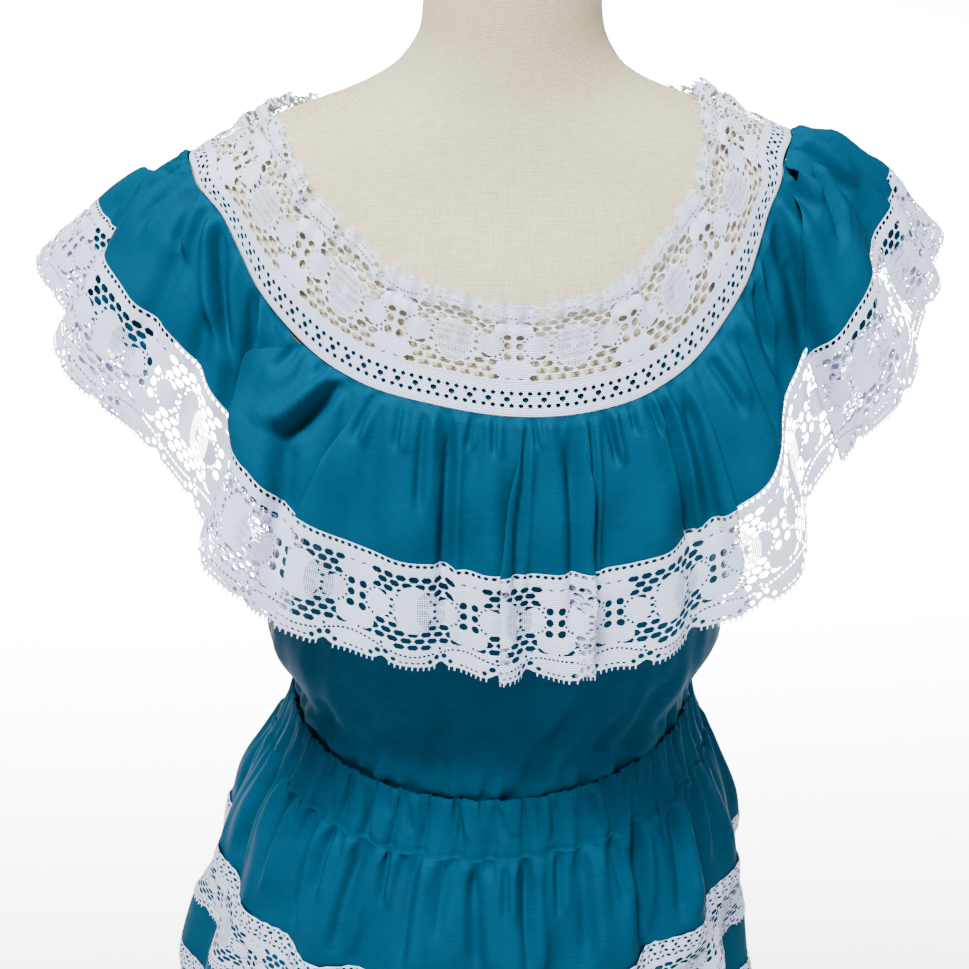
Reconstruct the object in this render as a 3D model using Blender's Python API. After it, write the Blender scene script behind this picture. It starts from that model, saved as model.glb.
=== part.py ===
"""Tiered skirt and ruffled top resting on a dress form. Metres, +Z up, the front faces -Y."""

import math

import bmesh
import bpy
import numpy as np

MM = 0.001
SEAM_GAP = 0.3 * MM
TIER_GAP = 0.4 * MM
CLOTH_WALL = 1.2 * MM
LACE_WALL = 1.0 * MM
LAYER_GAP = 0.6 * MM

# The form and its stand.
NECK_TOP = 1.560
TORSO_BOTTOM = 0.800
NECK_CAP_HEIGHT = 0.012
NECK_SHIFT = 0.004
BASE_RADIUS = 0.170
BASE_HEIGHT = 0.014
POLE_RADIUS = 0.0125

# The top, measured along the cloth.
BODICE_HEM = 0.992
BODICE_DROP = 2 * MM
BAND_WIDTH = 0.020
NECK_LACE_WIDTH = 0.047
RUFFLE_DEPTH = 0.088
LACE_WIDTH = 0.066
LACE_REPEAT = 0.066
RUFFLE_BEND = 0.040
RUFFLE_STAND = 4.0 * MM
FOLD_RISE = 1.8
FOLD_FULL = 1.2
SCALLOP = 0.004

# The armholes: how far they cut in at the neck seam, and the height they start at.
ARMHOLE_REACH = math.radians(42)
UNDERARM = 1.250

# The skirt's waist and its casing.
WAIST = 1.066
WAIST_DIP = 0.011
WAIST_TILT = 0.002
CASING_DEPTH = 0.038

# The lengths over which each tier's folds take over from those above it, and how much of
# their height they have near the gathers.
CASING_FADE = 0.014
YOKE_START = 0.020
YOKE_RISE = 0.090
TIER_2_RISE = 0.060
TIER_3_RISE = 0.070
HEM_RISE = 0.090
GATHERED = 0.7

# The skirt's seams, as heights.
ROW_1 = 0.942
ROW_2 = 0.846
TIER_3_END = 0.585
SKIRT_HEM = 0.255
SKIRT_LACE_WIDTH = 0.058

# Level sections of the form: height, half width, reach in front, reach behind.
TORSO = [
    (0.800, 0.146, 0.098, 0.110),
    (0.835, 0.155, 0.106, 0.118),
    (0.900, 0.152, 0.106, 0.112),
    (0.980, 0.132, 0.101, 0.092),
    (1.050, 0.116, 0.096, 0.080),
    (1.110, 0.121, 0.100, 0.083),
    (1.190, 0.136, 0.114, 0.093),
    (1.270, 0.148, 0.127, 0.101),
    (1.310, 0.155, 0.123, 0.103),
    (1.350, 0.166, 0.110, 0.103),
    (1.385, 0.176, 0.095, 0.100),
    (1.408, 0.180, 0.079, 0.090),
    (1.424, 0.175, 0.068, 0.080),
    (1.436, 0.152, 0.062, 0.072),
    (1.447, 0.126, 0.057, 0.066),
    (1.458, 0.094, 0.053, 0.062),
    (1.470, 0.071, 0.049, 0.059),
    (1.488, 0.055, 0.046, 0.057),
    (1.520, 0.048, 0.044, 0.056),
    (1.560, 0.047, 0.043, 0.055),
]

# The bodice's fullness lies a little to one side at the waist.
BODICE_SHIFT = -0.0045

# How far the bodice stands off the form: height, at the sides, in front, behind.
BODICE_EASE = [
    (0.992, 0.009, 0.011, 0.011),
    (1.045, 0.0100, 0.0130, 0.0130),
    (1.066, 0.0073, 0.0120, 0.0095),
    (1.078, 0.0074, 0.0105, 0.0065),
    (1.090, 0.0145, 0.0100, 0.0110),
    (1.105, 0.021, 0.010, 0.014),
    (1.150, 0.014, 0.009, 0.012),
    (1.200, 0.007, 0.004, 0.008),
    (1.250, 0.004, 0.003, 0.004),
    (1.320, 0.0065, 0.002, 0.005),
    (1.370, 0.002, 0.0014, 0.002),
]

# The skirt's level sections: height, half width, middle, reach in front, reach behind.
SKIRT = [
    (0.255, 0.350, -0.018, 0.335, 0.330),
    (0.400, 0.302, -0.022, 0.287, 0.282),
    (0.600, 0.246, -0.026, 0.233, 0.226),
    (0.801, 0.199, -0.026, 0.192, 0.179),
    (0.855, 0.190, -0.024, 0.181, 0.163),
    (0.914, 0.177, -0.018, 0.169, 0.148),
    (0.950, 0.169, -0.014, 0.158, 0.138),
    (0.985, 0.159, -0.012, 0.143, 0.125),
    (1.006, 0.150, -0.010, 0.132, 0.116),
    (1.028, 0.140, -0.008, 0.122, 0.107),
    (1.045, 0.133, -0.007, 0.117, 0.101),
    (1.075, 0.127, -0.006, 0.112, 0.096),
]

# The neckline by its angle from the front: where the ruffle's seam and the lace's inner
# edge cross the form, each as a turn round the form and a height.
NECKLINE = [
    (-180, -180, 1.372, -180, 1.430),
    (-160, -160, 1.378, -161, 1.432),
    (-135, -133, 1.396, -134, 1.438),
    (-110, -110, 1.416, -112, 1.444),
    (-90, -90, 1.424, -90, 1.4465),
    (-72, -70, 1.419, -68, 1.4465),
    (-62, -58, 1.405, -49, 1.439),
    (-52, -51, 1.372, -35.5, 1.426),
    (-42, -42, 1.349, -27.5, 1.412),
    (-30, -31, 1.335, -21, 1.397),
    (-15, -15, 1.327, -11, 1.387),
    (0, 0, 1.322, 0, 1.380),
    (15, 15, 1.322, 12, 1.383),
    (30, 29, 1.329, 20, 1.392),
    (42, 39.5, 1.345, 26, 1.408),
    (52, 47.5, 1.374, 31.5, 1.424),
    (62, 51.5, 1.407, 43, 1.439),
    (72, 60, 1.425, 58, 1.449),
    (90, 90, 1.432, 90, 1.4555),
    (110, 110, 1.422, 112, 1.4505),
    (135, 133, 1.398, 134, 1.441),
    (160, 160, 1.378, 161, 1.433),
    (180, 180, 1.372, 180, 1.430),
]

# How far the ruffle leans out from hanging straight down: angle from the front, the lean at
# its seam and at the lace's edge, and the share of its depth that cross folds take up.
RUFFLE_LEAN = [
    (-180, 34, 10, 0),
    (-150, 44, 14, 0),
    (-127, 52, 30, 0.08),
    (-110, 56, 45, 0.14),
    (-97, 64, 31, 0.28),
    (-79, 39, 30, 0.20),
    (-65, 38, 20, 0.18),
    (-55, 32, 22, 0.18),
    (-46, 26, 28, 0.14),
    (-36, 27, 20, 0.05),
    (-20, 34, 7, 0),
    (0, 30, 6, 0),
    (20, 34, 7, 0),
    (35, 42, 7, 0.03),
    (45, 40, 18, 0.06),
    (57, 32, 21, 0.10),
    (66, 42, 23, 0.16),
    (76, 58, 29, 0.17),
    (90, 70, 24, 0.20),
    (105, 68, 38, 0.22),
    (127, 54, 30, 0.08),
    (150, 44, 14, 0),
    (180, 34, 10, 0),
]

# The ruffle's folds at its hem: angle from the front and how far each ridge or trough
# stands out from the mean, in millimetres.
RUFFLE_FOLDS = [
    (-172, 7), (-165, -7), (-158, 8), (-151, -8), (-143, 10), (-135, -10), (-127, 10),
    (-119, -8), (-110, 12), (-95, -12), (-79, 12), (-65, 2), (-51, -12), (-44, 6),
    (-36, 5), (-27, -4), (-19, 4), (-10, -4), (-3, 5), (3, -4), (9, 4), (17, -4),
    (25, 4), (33, -6), (43, 8), (55, -13), (67, 8), (79, -5), (90, 12), (100, -10),
    (110, 11), (120, -10), (131, 10), (141, -9), (150, 8), (159, -7), (167, 7), (175, -6),
]


def through(points, column, x):
    """A smooth curve through one column of a table, read at x, level past both ends."""
    table = np.array(sorted(points), float)
    xs, ys = table[:, 0], table[:, column]
    slope = np.gradient(ys, xs)
    x = np.clip(x, xs[0], xs[-1])
    i = np.clip(np.searchsorted(xs, x) - 1, 0, len(xs) - 2)
    span = xs[i + 1] - xs[i]
    t = (x - xs[i]) / span
    rise = t * (1 - t) ** 2 * span * slope[i] - t * t * (1 - t) * span * slope[i + 1]
    return (1 + 2 * t) * (1 - t) ** 2 * ys[i] + t * t * (3 - 2 * t) * ys[i + 1] + rise


def ease(t):
    """0 to 1, level at both ends."""
    t = np.clip(t, 0.0, 1.0)
    return t * t * (3 - 2 * t)


def folds_at(angle, folds):
    """The height of the folds at each angle, all round: ridges and troughs joined softly."""
    turns = np.array([math.radians(a) for a, _ in folds])
    heights = np.array([h * MM for _, h in folds])
    turns = np.append(turns, turns[0] + math.tau)
    heights = np.append(heights, heights[0])
    around = np.mod(angle - turns[0], math.tau) + turns[0]
    i = np.clip(np.searchsorted(turns, around, side="right") - 1, 0, len(turns) - 2)
    t = ease((around - turns[i]) / (turns[i + 1] - turns[i]))
    return heights[i] + (heights[i + 1] - heights[i]) * t


def gathers(count, depth, seed):
    """A fold table with this many ridges, uneven in height and spacing."""
    random = np.random.default_rng(seed)
    step = 360 / (2 * count)
    rows = []
    for i in range(2 * count):
        angle = -180 + step * (i + 0.5 + random.uniform(-0.22, 0.22))
        side = 1 if i % 2 == 0 else -1
        rows.append((angle, side * depth / MM * random.uniform(0.6, 1.25)))
    return rows


def normals(surface, angle, at, level=False):
    """Points of a surface and its unit normals, away from the axis, or their level direction."""
    turn = surface(angle + 1e-4, at) - surface(angle - 1e-4, at)
    fall = surface(angle, at + 1e-4) - surface(angle, at - 1e-4)
    normal = np.cross(turn, fall)
    if level:
        normal[..., 2] = 0
    normal /= np.linalg.norm(normal, axis=-1, keepdims=True)
    point = surface(angle, at)
    outward = point * (1, 1, 0) + (0, 0, 0.05)
    return point, normal * np.sign(np.sum(normal * outward))


def oval(angle, half_width, middle, front, back):
    """A level oval's x and y at an angle from the front."""
    reach = np.where(np.cos(angle) > 0, front, back)
    return middle + half_width * np.sin(angle), -reach * np.cos(angle)


def torso(angle, z, grow=0.0):
    half_width = through(TORSO, 1, z) + grow
    front = through(TORSO, 2, z) + grow
    back = through(TORSO, 3, z) + grow
    x, y = oval(angle, half_width, NECK_SHIFT * ease((z - 1.44) / 0.06), front, back)
    return np.stack([x, y, z + 0 * x], axis=-1)


def neckline(angle, v):
    """The lace and band on the form: v is 0 at the ruffle's seam and 1 at the inner edge."""
    degrees = np.degrees(np.mod(angle + math.pi, math.tau) - math.pi)
    turn_0 = through(NECKLINE, 1, degrees)
    turn_1 = through(NECKLINE, 3, degrees)
    z_0 = through(NECKLINE, 2, degrees)
    z_1 = through(NECKLINE, 4, degrees)
    return torso(np.radians(turn_0 + (turn_1 - turn_0) * v), z_0 + (z_1 - z_0) * v)


def ruffle(angle, s):
    """The flounce and its lace: s is the distance down the cloth from its seam."""
    seam, normal = normals(neckline, angle, 0 * angle)
    degrees = np.degrees(np.mod(angle + math.pi, math.tau) - math.pi)
    at_seam = np.radians(through(RUFFLE_LEAN, 1, degrees))
    at_hem = np.radians(through(RUFFLE_LEAN, 2, degrees))
    s = s - through(RUFFLE_LEAN, 3, degrees) * np.clip(s, 0, RUFFLE_DEPTH)
    run = (np.abs(s) + MM / 1000) / RUFFLE_BEND
    lean = at_hem + (at_seam - at_hem) * (1 - np.exp(-run)) / run
    rise = FOLD_FULL * (1 - np.exp(-FOLD_RISE * s / RUFFLE_DEPTH))
    fold = folds_at(angle, RUFFLE_FOLDS) * rise
    across = s * np.sin(lean) + fold * np.cos(lean)
    down = s * np.cos(lean) - fold * np.sin(lean)
    out = np.stack([np.sin(angle), -np.cos(angle), 0 * angle], axis=-1)
    start = seam + normal * RUFFLE_STAND
    return start + out * across[..., None] - np.array([0, 0, 1]) * down[..., None]


def bodice(angle, z):
    """The bodice's inner side."""
    half_width = through(TORSO, 1, z) + through(BODICE_EASE, 1, z)
    front = through(TORSO, 2, z) + through(BODICE_EASE, 2, z)
    back = through(TORSO, 3, z) + through(BODICE_EASE, 3, z)
    middle = BODICE_SHIFT * ease((1.20 - z) / 0.08)
    x, y = oval(angle, half_width, middle, front, back)
    return np.stack([x, y, z + 0 * x], axis=-1)


CASING_FOLDS = gathers(44, 2.2 * MM, 3)
YOKE_FOLDS = gathers(16, 6 * MM, 5)
TIER_2_FOLDS = gathers(17, 8 * MM, 8)
TIER_3_FOLDS = gathers(20, 12 * MM, 11)
HEM_FOLDS = gathers(22, 17 * MM, 14)


def waist_height(angle):
    """The casing's upper edge is lowest in front and a little higher on one side."""
    return WAIST - WAIST_DIP * np.cos(angle) + WAIST_TILT * np.sin(angle)


def skirt_fold(angle, z):
    """The folds grow down each tier and are drawn in again at its seams."""
    down = waist_height(angle) - z
    casing = folds_at(angle, CASING_FOLDS) * ease((CASING_DEPTH + CASING_FADE - down) / CASING_FADE)
    yoke = folds_at(angle, YOKE_FOLDS) * ease((down - YOKE_START) / YOKE_RISE)
    blend_2 = ease((ROW_1 - z) / TIER_2_RISE)
    blend_3 = ease((ROW_2 - z) / TIER_3_RISE)
    blend_4 = ease((TIER_3_END - z) / HEM_RISE)
    tier_2 = folds_at(angle, TIER_2_FOLDS)
    grown = GATHERED + (1 - GATHERED) * ease((ROW_2 - z) / (ROW_2 - TIER_3_END))
    tier_3 = folds_at(angle, TIER_3_FOLDS) * grown
    grown = GATHERED + (1 - GATHERED) * ease((TIER_3_END - z) / (TIER_3_END - SKIRT_HEM))
    hem = folds_at(angle, HEM_FOLDS) * grown
    fold = casing + yoke
    fold = fold + (tier_2 - fold) * blend_2
    fold = fold + (tier_3 - fold) * blend_3
    return fold + (hem - fold) * blend_4


def skirt(angle, z):
    half_width = through(SKIRT, 1, z)
    middle = through(SKIRT, 2, z)
    front = through(SKIRT, 3, z)
    back = through(SKIRT, 4, z)
    fold = skirt_fold(angle, z)
    x, y = oval(angle, half_width + fold, middle, front + fold, back + fold)
    return np.stack([x, y, z + 0 * x], axis=-1)


def casing(angle, down):
    """The skirt's surface, read by the distance below the waist's edge."""
    return skirt(angle, waist_height(angle) - down)


def yoke(angle, v):
    """The tier between the casing and the first row of lace: v runs 0 to 1 down it."""
    top = waist_height(angle) - CASING_DEPTH - TIER_GAP
    return skirt(angle, top + (ROW_1 + TIER_GAP - top) * v)


def bodice_half(middle):
    """Half of the bodice: u runs -1 to 1 across it, v runs 0 to 1 up to the underarm and 2 up
    to the neck seam, where the armholes have cut in."""
    def surface(u, v):
        above = np.maximum(v - 1, 0)
        angle = middle + u * (math.pi / 2 - ARMHOLE_REACH * ease(above))
        top = neckline(angle, 0.0)[..., 2] - BODICE_DROP
        z = BODICE_HEM + (UNDERARM - BODICE_HEM) * np.minimum(v, 1)
        return bodice(angle, z + (top - UNDERARM) * above)
    return surface


def fold_angles(folds, low, high, parts):
    """The angles of the ridges and troughs between low and high, with parts to each step."""
    turns = [low, high]
    for angle, _ in folds:
        turn = low + np.mod(math.radians(angle) - low, math.tau)
        if low + 0.02 < turn < high - 0.02:
            turns.append(turn)
    turns = np.sort(turns)
    return np.interp(np.arange((len(turns) - 1) * parts + 1) / parts, range(len(turns)), turns)


def even_angles(surface, at, low, high, fractions, repeat):
    """Angles at the given fractions of each repeat, with equal repeats along the cloth."""
    fine = np.linspace(low, high, 1441)
    line = surface(fine, np.full(fine.shape, at))
    run = np.concatenate([[0], np.cumsum(np.linalg.norm(np.diff(line, axis=0), axis=1))])
    count = max(1, round(run[-1] / repeat))
    marks = [(i + f) / count for i in range(count) for f in fractions]
    if marks[0] > 0:
        marks = [0.0, *marks]
    return np.interp([*marks, 1.0], run / run[-1], fine)


def trimmed(angles, surface, at):
    """The same angles with both ends drawn in by half the gap of a side seam."""
    angles = np.array(angles, float)
    for end, step in ((0, 1e-4), (-1, -1e-4)):
        a, b = surface(np.array([angles[end], angles[end] + step]), np.array([at, at]))
        angles[end] += step * (SEAM_GAP / 2) / np.linalg.norm(b - a)
    return angles


def material(name, colour, roughness, metallic=0.0):
    made = bpy.data.materials.new(name)
    made.use_nodes = True
    shader = made.node_tree.nodes["Principled BSDF"]
    shader.inputs["Base Color"].default_value = (*colour, 1.0)
    shader.inputs["Roughness"].default_value = roughness
    shader.inputs["Metallic"].default_value = metallic
    return made


def finish(name, mesh, made):
    """Turns a bmesh into a named object with its material."""
    bmesh.ops.recalc_face_normals(mesh, faces=mesh.faces)
    data = bpy.data.meshes.new(name)
    mesh.to_mesh(data)
    mesh.free()
    data.materials.append(made)
    data.shade_smooth()
    data.set_sharp_from_angle(angle=math.radians(50))
    placed = bpy.data.objects.new(name, data)
    bpy.context.scene.collection.objects.link(placed)
    return placed


def panel(name, surface, angles, rows, offset, wall, made,
          coarse=None, holes=None, edge=None, level=False):
    """One wall of cloth between two angles, on a surface moved out by offset.

    rows are the levels of each column. A column whose number leaves a remainder in coarse
    keeps only those levels. holes names the cells left out. edge moves the last row.
    """
    grid = []
    for j, angle in enumerate(angles):
        levels = list(range(len(rows)))
        if coarse is not None and j in coarse[0]:
            levels = coarse[1]
        at = np.array([rows[i] for i in levels])
        if edge is not None:
            at[-1] += edge[j]
        turn = np.full(at.shape, angle)
        point, normal = normals(surface, turn, at, level)
        grid.append((levels, point + normal * (offset + wall), point + normal * offset))
    mesh = bmesh.new()
    outer, inner = [], []
    for levels, out, back in grid:
        outer.append({i: mesh.verts.new(p) for i, p in zip(levels, out)})
        inner.append({i: mesh.verts.new(p) for i, p in zip(levels, back)})
    holes = holes or set()
    for j in range(len(grid) - 1):
        left, right = grid[j][0], grid[j + 1][0]
        a = b = 0
        while a < len(left) - 1 or b < len(right) - 1:
            even = left == right and len(left) == len(rows)
            if even and a == b and (j, a) in holes:
                corners = [(j, left[a]), (j, left[a + 1]), (j + 1, left[a + 1]), (j + 1, left[a])]
                for k in range(4):
                    (c, i), (d, n) = corners[k], corners[(k + 1) % 4]
                    mesh.faces.new([outer[c][i], outer[d][n], inner[d][n], inner[c][i]])
                a += 1
                b += 1
                continue
            step_left = a < len(left) - 1 and (b >= len(right) - 1 or left[a + 1] <= right[b + 1])
            if step_left:
                corners = [(j, left[a]), (j, left[a + 1]), (j + 1, right[b])]
                a += 1
            else:
                corners = [(j, left[a]), (j + 1, right[b + 1]), (j + 1, right[b])]
                b += 1
            mesh.faces.new([outer[c][i] for c, i in corners])
            mesh.faces.new([inner[c][i] for c, i in reversed(corners)])
        for i in (0, len(rows) - 1):
            mesh.faces.new([outer[j][i], outer[j + 1][i], inner[j + 1][i], inner[j][i]])
    for j in (0, len(grid) - 1):
        levels = grid[j][0]
        for i, n in zip(levels, levels[1:]):
            mesh.faces.new([outer[j][i], outer[j][n], inner[j][n], inner[j][i]])
    return finish(name, mesh, made)


HALVES = {
    "front": (-math.pi / 2, math.pi / 2),
    "back": (math.pi / 2, math.pi * 3 / 2),
}

# Within one repeat, from the middle of a woven disc to the next: the column lines that
# bound the flower's upper and lower holes, and one line on each side of the disc.
FLOWER_LINES = [8.5 / 66, 25.5 / 66, 31.2 / 66, 34.8 / 66, 40.5 / 66, 57.5 / 66]
FLOWER_ROWS = [0.31, 0.385, 0.505, 0.58]


# On the skirt only the flower's middle is cut.
SKIRT_LINES = [8.5 / 66, 30.0 / 66, 36.0 / 66, 57.5 / 66]
SKIRT_LACE_ROWS = [0.0, 0.46, 0.54, 1.0]


def flower_cells(count):
    """Which columns of a lace are coarse, and which cells are the flowers' holes."""
    columns = 2 + 6 * count
    coarse, holes = [], set()
    for j in range(columns):
        place = (j - 1) % 6
        if j in (0, columns - 1) or place in (0, 5):
            coarse.append(j)
        elif place in (1, 3):
            holes.update({(j, 1), (j, 3)})
    return coarse, holes


def flower_lace(name, surface, start, width, low, high, offset, made, scallop=0.0):
    """A cut lace whose heading is at start and whose scalloped edge is at start + width."""
    middle = start + width * 0.5
    angles = even_angles(surface, middle, low, high, FLOWER_LINES, LACE_REPEAT)
    count = (len(angles) - 2) // 6
    angles = trimmed(angles, surface, middle)
    rows = [start] + [start + width * f for f in FLOWER_ROWS] + [start + width]
    coarse, holes = flower_cells(count)
    edge = [-scallop * (1 if (j - 1) % 6 in (0, 5) and 0 < j < len(angles) - 1 else 0)
            for j in range(len(angles))]
    panel(name, surface, angles, rows, offset, LACE_WALL, made,
          coarse=(set(coarse), [0, 3, 5]), holes=holes, edge=edge)
    return angles


def ring_solid(name, levels, columns, section, made):
    """A closed solid through level sections, flat at its top and bottom."""
    mesh = bmesh.new()
    turns = np.linspace(0, math.tau, columns, endpoint=False)
    rings = []
    for z in levels:
        rings.append([mesh.verts.new(p) for p in section(turns, np.full(turns.shape, z))])
    for low, high in zip(rings, rings[1:]):
        for j in range(columns):
            k = (j + 1) % columns
            mesh.faces.new([low[j], low[k], high[k], high[j]])
    mesh.faces.new(list(reversed(rings[0])))
    mesh.faces.new(rings[-1])
    return finish(name, mesh, made)


def turned(name, profile, columns, made):
    """A solid turned about the axis from radius and height pairs, bottom to top."""
    heights = [z for _, z in profile]
    radii = dict(enumerate(r for r, _ in profile))

    def section(turns, levels):
        i = heights.index(levels[0])
        return np.stack([radii[i] * np.sin(turns), -radii[i] * np.cos(turns), levels], axis=-1)

    return ring_solid(name, heights, columns, section, made)


for old in list(bpy.data.objects):
    bpy.data.objects.remove(old, do_unlink=True)

POPLIN = material("teal_poplin", (0.0, 0.13, 0.24), 0.75)
LACE = material("white_lace", (0.78, 0.79, 0.90), 0.85)
LINEN = material("cream_linen", (0.66, 0.61, 0.50), 0.9)
WOOD = material("pale_wood", (0.52, 0.36, 0.21), 0.5)
STEEL = material("white_painted_steel", (0.75, 0.74, 0.71), 0.4)

# The form and its stand.
turned("base", [(BASE_RADIUS, 0.0), (BASE_RADIUS, BASE_HEIGHT - 0.003),
                (BASE_RADIUS - 0.003, BASE_HEIGHT)], 32, STEEL)
turned("pole", [(POLE_RADIUS, BASE_HEIGHT + SEAM_GAP), (POLE_RADIUS, TORSO_BOTTOM - SEAM_GAP)],
       16, STEEL)
ring_solid("dress_form", [row[0] for row in TORSO], 22, torso, LINEN)
ring_solid(
    "neck_cap",
    [NECK_TOP + SEAM_GAP, NECK_TOP + NECK_CAP_HEIGHT - 0.003, NECK_TOP + NECK_CAP_HEIGHT],
    22,
    lambda turns, z: torso(turns, z, 0.001 - 0.004 * (z > NECK_TOP + NECK_CAP_HEIGHT - 0.001)),
    WOOD,
)

NECK_OFFSET = 2.5 * MM
BODICE_ROWS = [0.0, 0.24, 0.31, 0.42, 0.65, 1.0, 1.35, 1.65, 1.85, 2.0]


def neck_by_width(angle, up):
    """The neckline read upwards from the ruffle's seam."""
    return neckline(angle, up / (NECK_LACE_WIDTH + BAND_WIDTH))


for half, (low, high) in HALVES.items():
    # The neck lace and the band below it share their columns.
    columns = flower_lace(f"neck_lace_{half}", neck_by_width, BAND_WIDTH + SEAM_GAP,
                          NECK_LACE_WIDTH, low, high, NECK_OFFSET, LACE)
    panel(f"insertion_band_{half}", neck_by_width, columns, [SEAM_GAP, BAND_WIDTH],
          NECK_OFFSET, LACE_WALL, LACE)

    # The ruffle and the lace on its hem share theirs.
    columns = flower_lace(f"ruffle_lace_{half}", ruffle, RUFFLE_DEPTH + SEAM_GAP, LACE_WIDTH,
                          low, high, 0.0, LACE, SCALLOP)
    panel(f"ruffle_{half}", ruffle, columns, [0.0, 0.032, RUFFLE_DEPTH], 0.0, CLOTH_WALL, POPLIN)

    # The bodice, cut away round the armholes.
    shape = bodice_half((low + high) / 2)
    columns = trimmed(np.linspace(-1, 1, 17), shape, 0.2)
    panel(f"bodice_{half}", shape, columns, BODICE_ROWS, 0.0, CLOTH_WALL, POPLIN)

    # The skirt: casing, yoke, then the tiers with their rows of lace. Its walls are level,
    # so that each seam stays at its own height through the cloth.
    columns = trimmed(fold_angles(CASING_FOLDS, low, high, 1), casing, CASING_DEPTH / 2)
    panel(f"waist_casing_{half}", casing, columns, [0.0, CASING_DEPTH], 0.0, CLOTH_WALL, POPLIN,
          level=True)
    columns = trimmed(fold_angles(YOKE_FOLDS, low, high, 2), yoke, 0.5)
    panel(f"yoke_{half}", yoke, columns, [0.0, 0.45, 1.0], 0.0, CLOTH_WALL, POPLIN, level=True)
    for number, seam, end, more in (
        (2, ROW_1, ROW_2 + TIER_GAP, []),
        (3, ROW_2, TIER_3_END + TIER_GAP, []),
    ):
        middle = seam - SKIRT_LACE_WIDTH / 2
        columns = even_angles(skirt, middle, low, high, SKIRT_LINES, LACE_REPEAT)
        columns = trimmed(columns, skirt, middle)
        rows = [seam - SKIRT_LACE_WIDTH * f for f in SKIRT_LACE_ROWS]
        last = len(columns) - 1
        wide = {j for j in range(last + 1) if j in (0, last) or j % 4 in (0, 1)}
        cells = {(j, 1) for j in range(last) if j % 4 == 2}
        panel(f"tier_{number}_{half}", skirt, columns, [*rows, *more, end], 0.0, CLOTH_WALL,
              POPLIN, coarse=(wide, [0, *range(2, 5 + len(more))]), level=True)
        panel(f"skirt_lace_{number - 1}_{half}", skirt, columns, rows, CLOTH_WALL + LAYER_GAP,
              LACE_WALL, LACE, coarse=(wide, [0, 2, 3]), holes=cells, level=True)
    columns = trimmed(fold_angles(HEM_FOLDS, low, high, 2), skirt, 0.4)
    panel(f"hem_tier_{half}", skirt, columns, [TIER_3_END, 0.46, SKIRT_HEM], 0.0, CLOTH_WALL,
          POPLIN, level=True)
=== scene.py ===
"""A tiered skirt and ruffled top on a dress form: its looks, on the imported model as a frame."""

import math

import bmesh
import bpy
import numpy as np
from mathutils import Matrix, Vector
from mathutils.geometry import delaunay_2d_cdt


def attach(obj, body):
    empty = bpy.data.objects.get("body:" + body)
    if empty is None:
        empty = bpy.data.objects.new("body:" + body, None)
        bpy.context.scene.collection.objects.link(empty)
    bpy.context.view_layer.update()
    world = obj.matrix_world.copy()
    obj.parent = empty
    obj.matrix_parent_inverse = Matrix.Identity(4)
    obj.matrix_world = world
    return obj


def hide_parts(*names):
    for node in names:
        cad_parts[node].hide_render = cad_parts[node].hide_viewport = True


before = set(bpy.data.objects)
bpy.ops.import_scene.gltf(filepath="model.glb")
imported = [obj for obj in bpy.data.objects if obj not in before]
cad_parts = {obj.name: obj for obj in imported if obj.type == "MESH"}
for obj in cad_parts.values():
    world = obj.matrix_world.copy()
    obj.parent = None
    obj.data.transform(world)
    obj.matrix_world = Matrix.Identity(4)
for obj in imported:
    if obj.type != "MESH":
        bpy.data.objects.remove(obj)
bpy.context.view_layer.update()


# The camera stands where the photograph was taken: a little above the form, close in front
# of it and slightly to its right, looking down.

CAMERA_AT = (-0.0560, -1.0685, 1.83)
CAMERA_TURN = math.radians(-2.4)
CAMERA_PITCH = math.radians(-30.1)
LENS = 74.30

camera_data = bpy.data.cameras.new("camera")
camera_data.lens = LENS
camera_data.sensor_width = 36.0
camera_data.clip_end = 100.0
camera = bpy.data.objects.new("camera", camera_data)
camera.location = CAMERA_AT
aim = Vector((-math.sin(CAMERA_TURN) * math.cos(CAMERA_PITCH),
              math.cos(CAMERA_TURN) * math.cos(CAMERA_PITCH), math.sin(CAMERA_PITCH)))
camera.rotation_euler = aim.to_track_quat("-Z", "Y").to_euler()
bpy.context.scene.collection.objects.link(camera)
bpy.context.scene.camera = camera


# The floor is a wide plain sheet of white studio paper. The light is a large soft panel in
# front and above, a weaker one from each side, and a pale room all round.

FLOOR_SIZE = 40.0
FLOOR_COLOUR = "#FFFFFF"


def linear(hex_colour):
    """A linear colour from an sRGB hex value."""
    parts = [int(hex_colour[i:i + 2], 16) / 255 for i in (1, 3, 5)]
    return (*[p / 12.92 if p <= 0.04045 else ((p + 0.055) / 1.055) ** 2.4 for p in parts], 1.0)


def add(tree, kind, sockets, **settings):
    """Adds a shader node: its settings, then its sockets' values or what is linked to them."""
    made = tree.nodes.new("ShaderNode" + kind)
    for name, value in settings.items():
        setattr(made, name, value)
    for key, value in sockets.items():
        if isinstance(value, bpy.types.NodeSocket):
            tree.links.new(value, made.inputs[key])
        else:
            made.inputs[key].default_value = value
    return made


def new_material(name):
    """A new material, its node tree and its Principled shader."""
    made = bpy.data.materials.new(name)
    made.use_nodes = True
    tree = made.node_tree
    return made, tree, tree.nodes["Principled BSDF"]


# Matt studio paper.
paper, tree, shader = new_material("white_paper")
shader.inputs["Base Color"].default_value = linear(FLOOR_COLOUR)
shader.inputs["Roughness"].default_value = 0.9

floor_mesh = bmesh.new()
bmesh.ops.create_grid(floor_mesh, x_segments=2, y_segments=2, size=FLOOR_SIZE / 2)
floor_data = bpy.data.meshes.new("floor")
floor_mesh.to_mesh(floor_data)
floor_mesh.free()
floor_data.materials.append(paper)
floor = bpy.data.objects.new("floor", floor_data)
bpy.context.scene.collection.objects.link(floor)

world = bpy.data.worlds.new("pale_room")
world.use_nodes = True
room = world.node_tree.nodes["Background"]
room.inputs["Color"].default_value = linear("#F4F7FF")
room.inputs["Strength"].default_value = 0.5
bpy.context.scene.world = world

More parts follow.
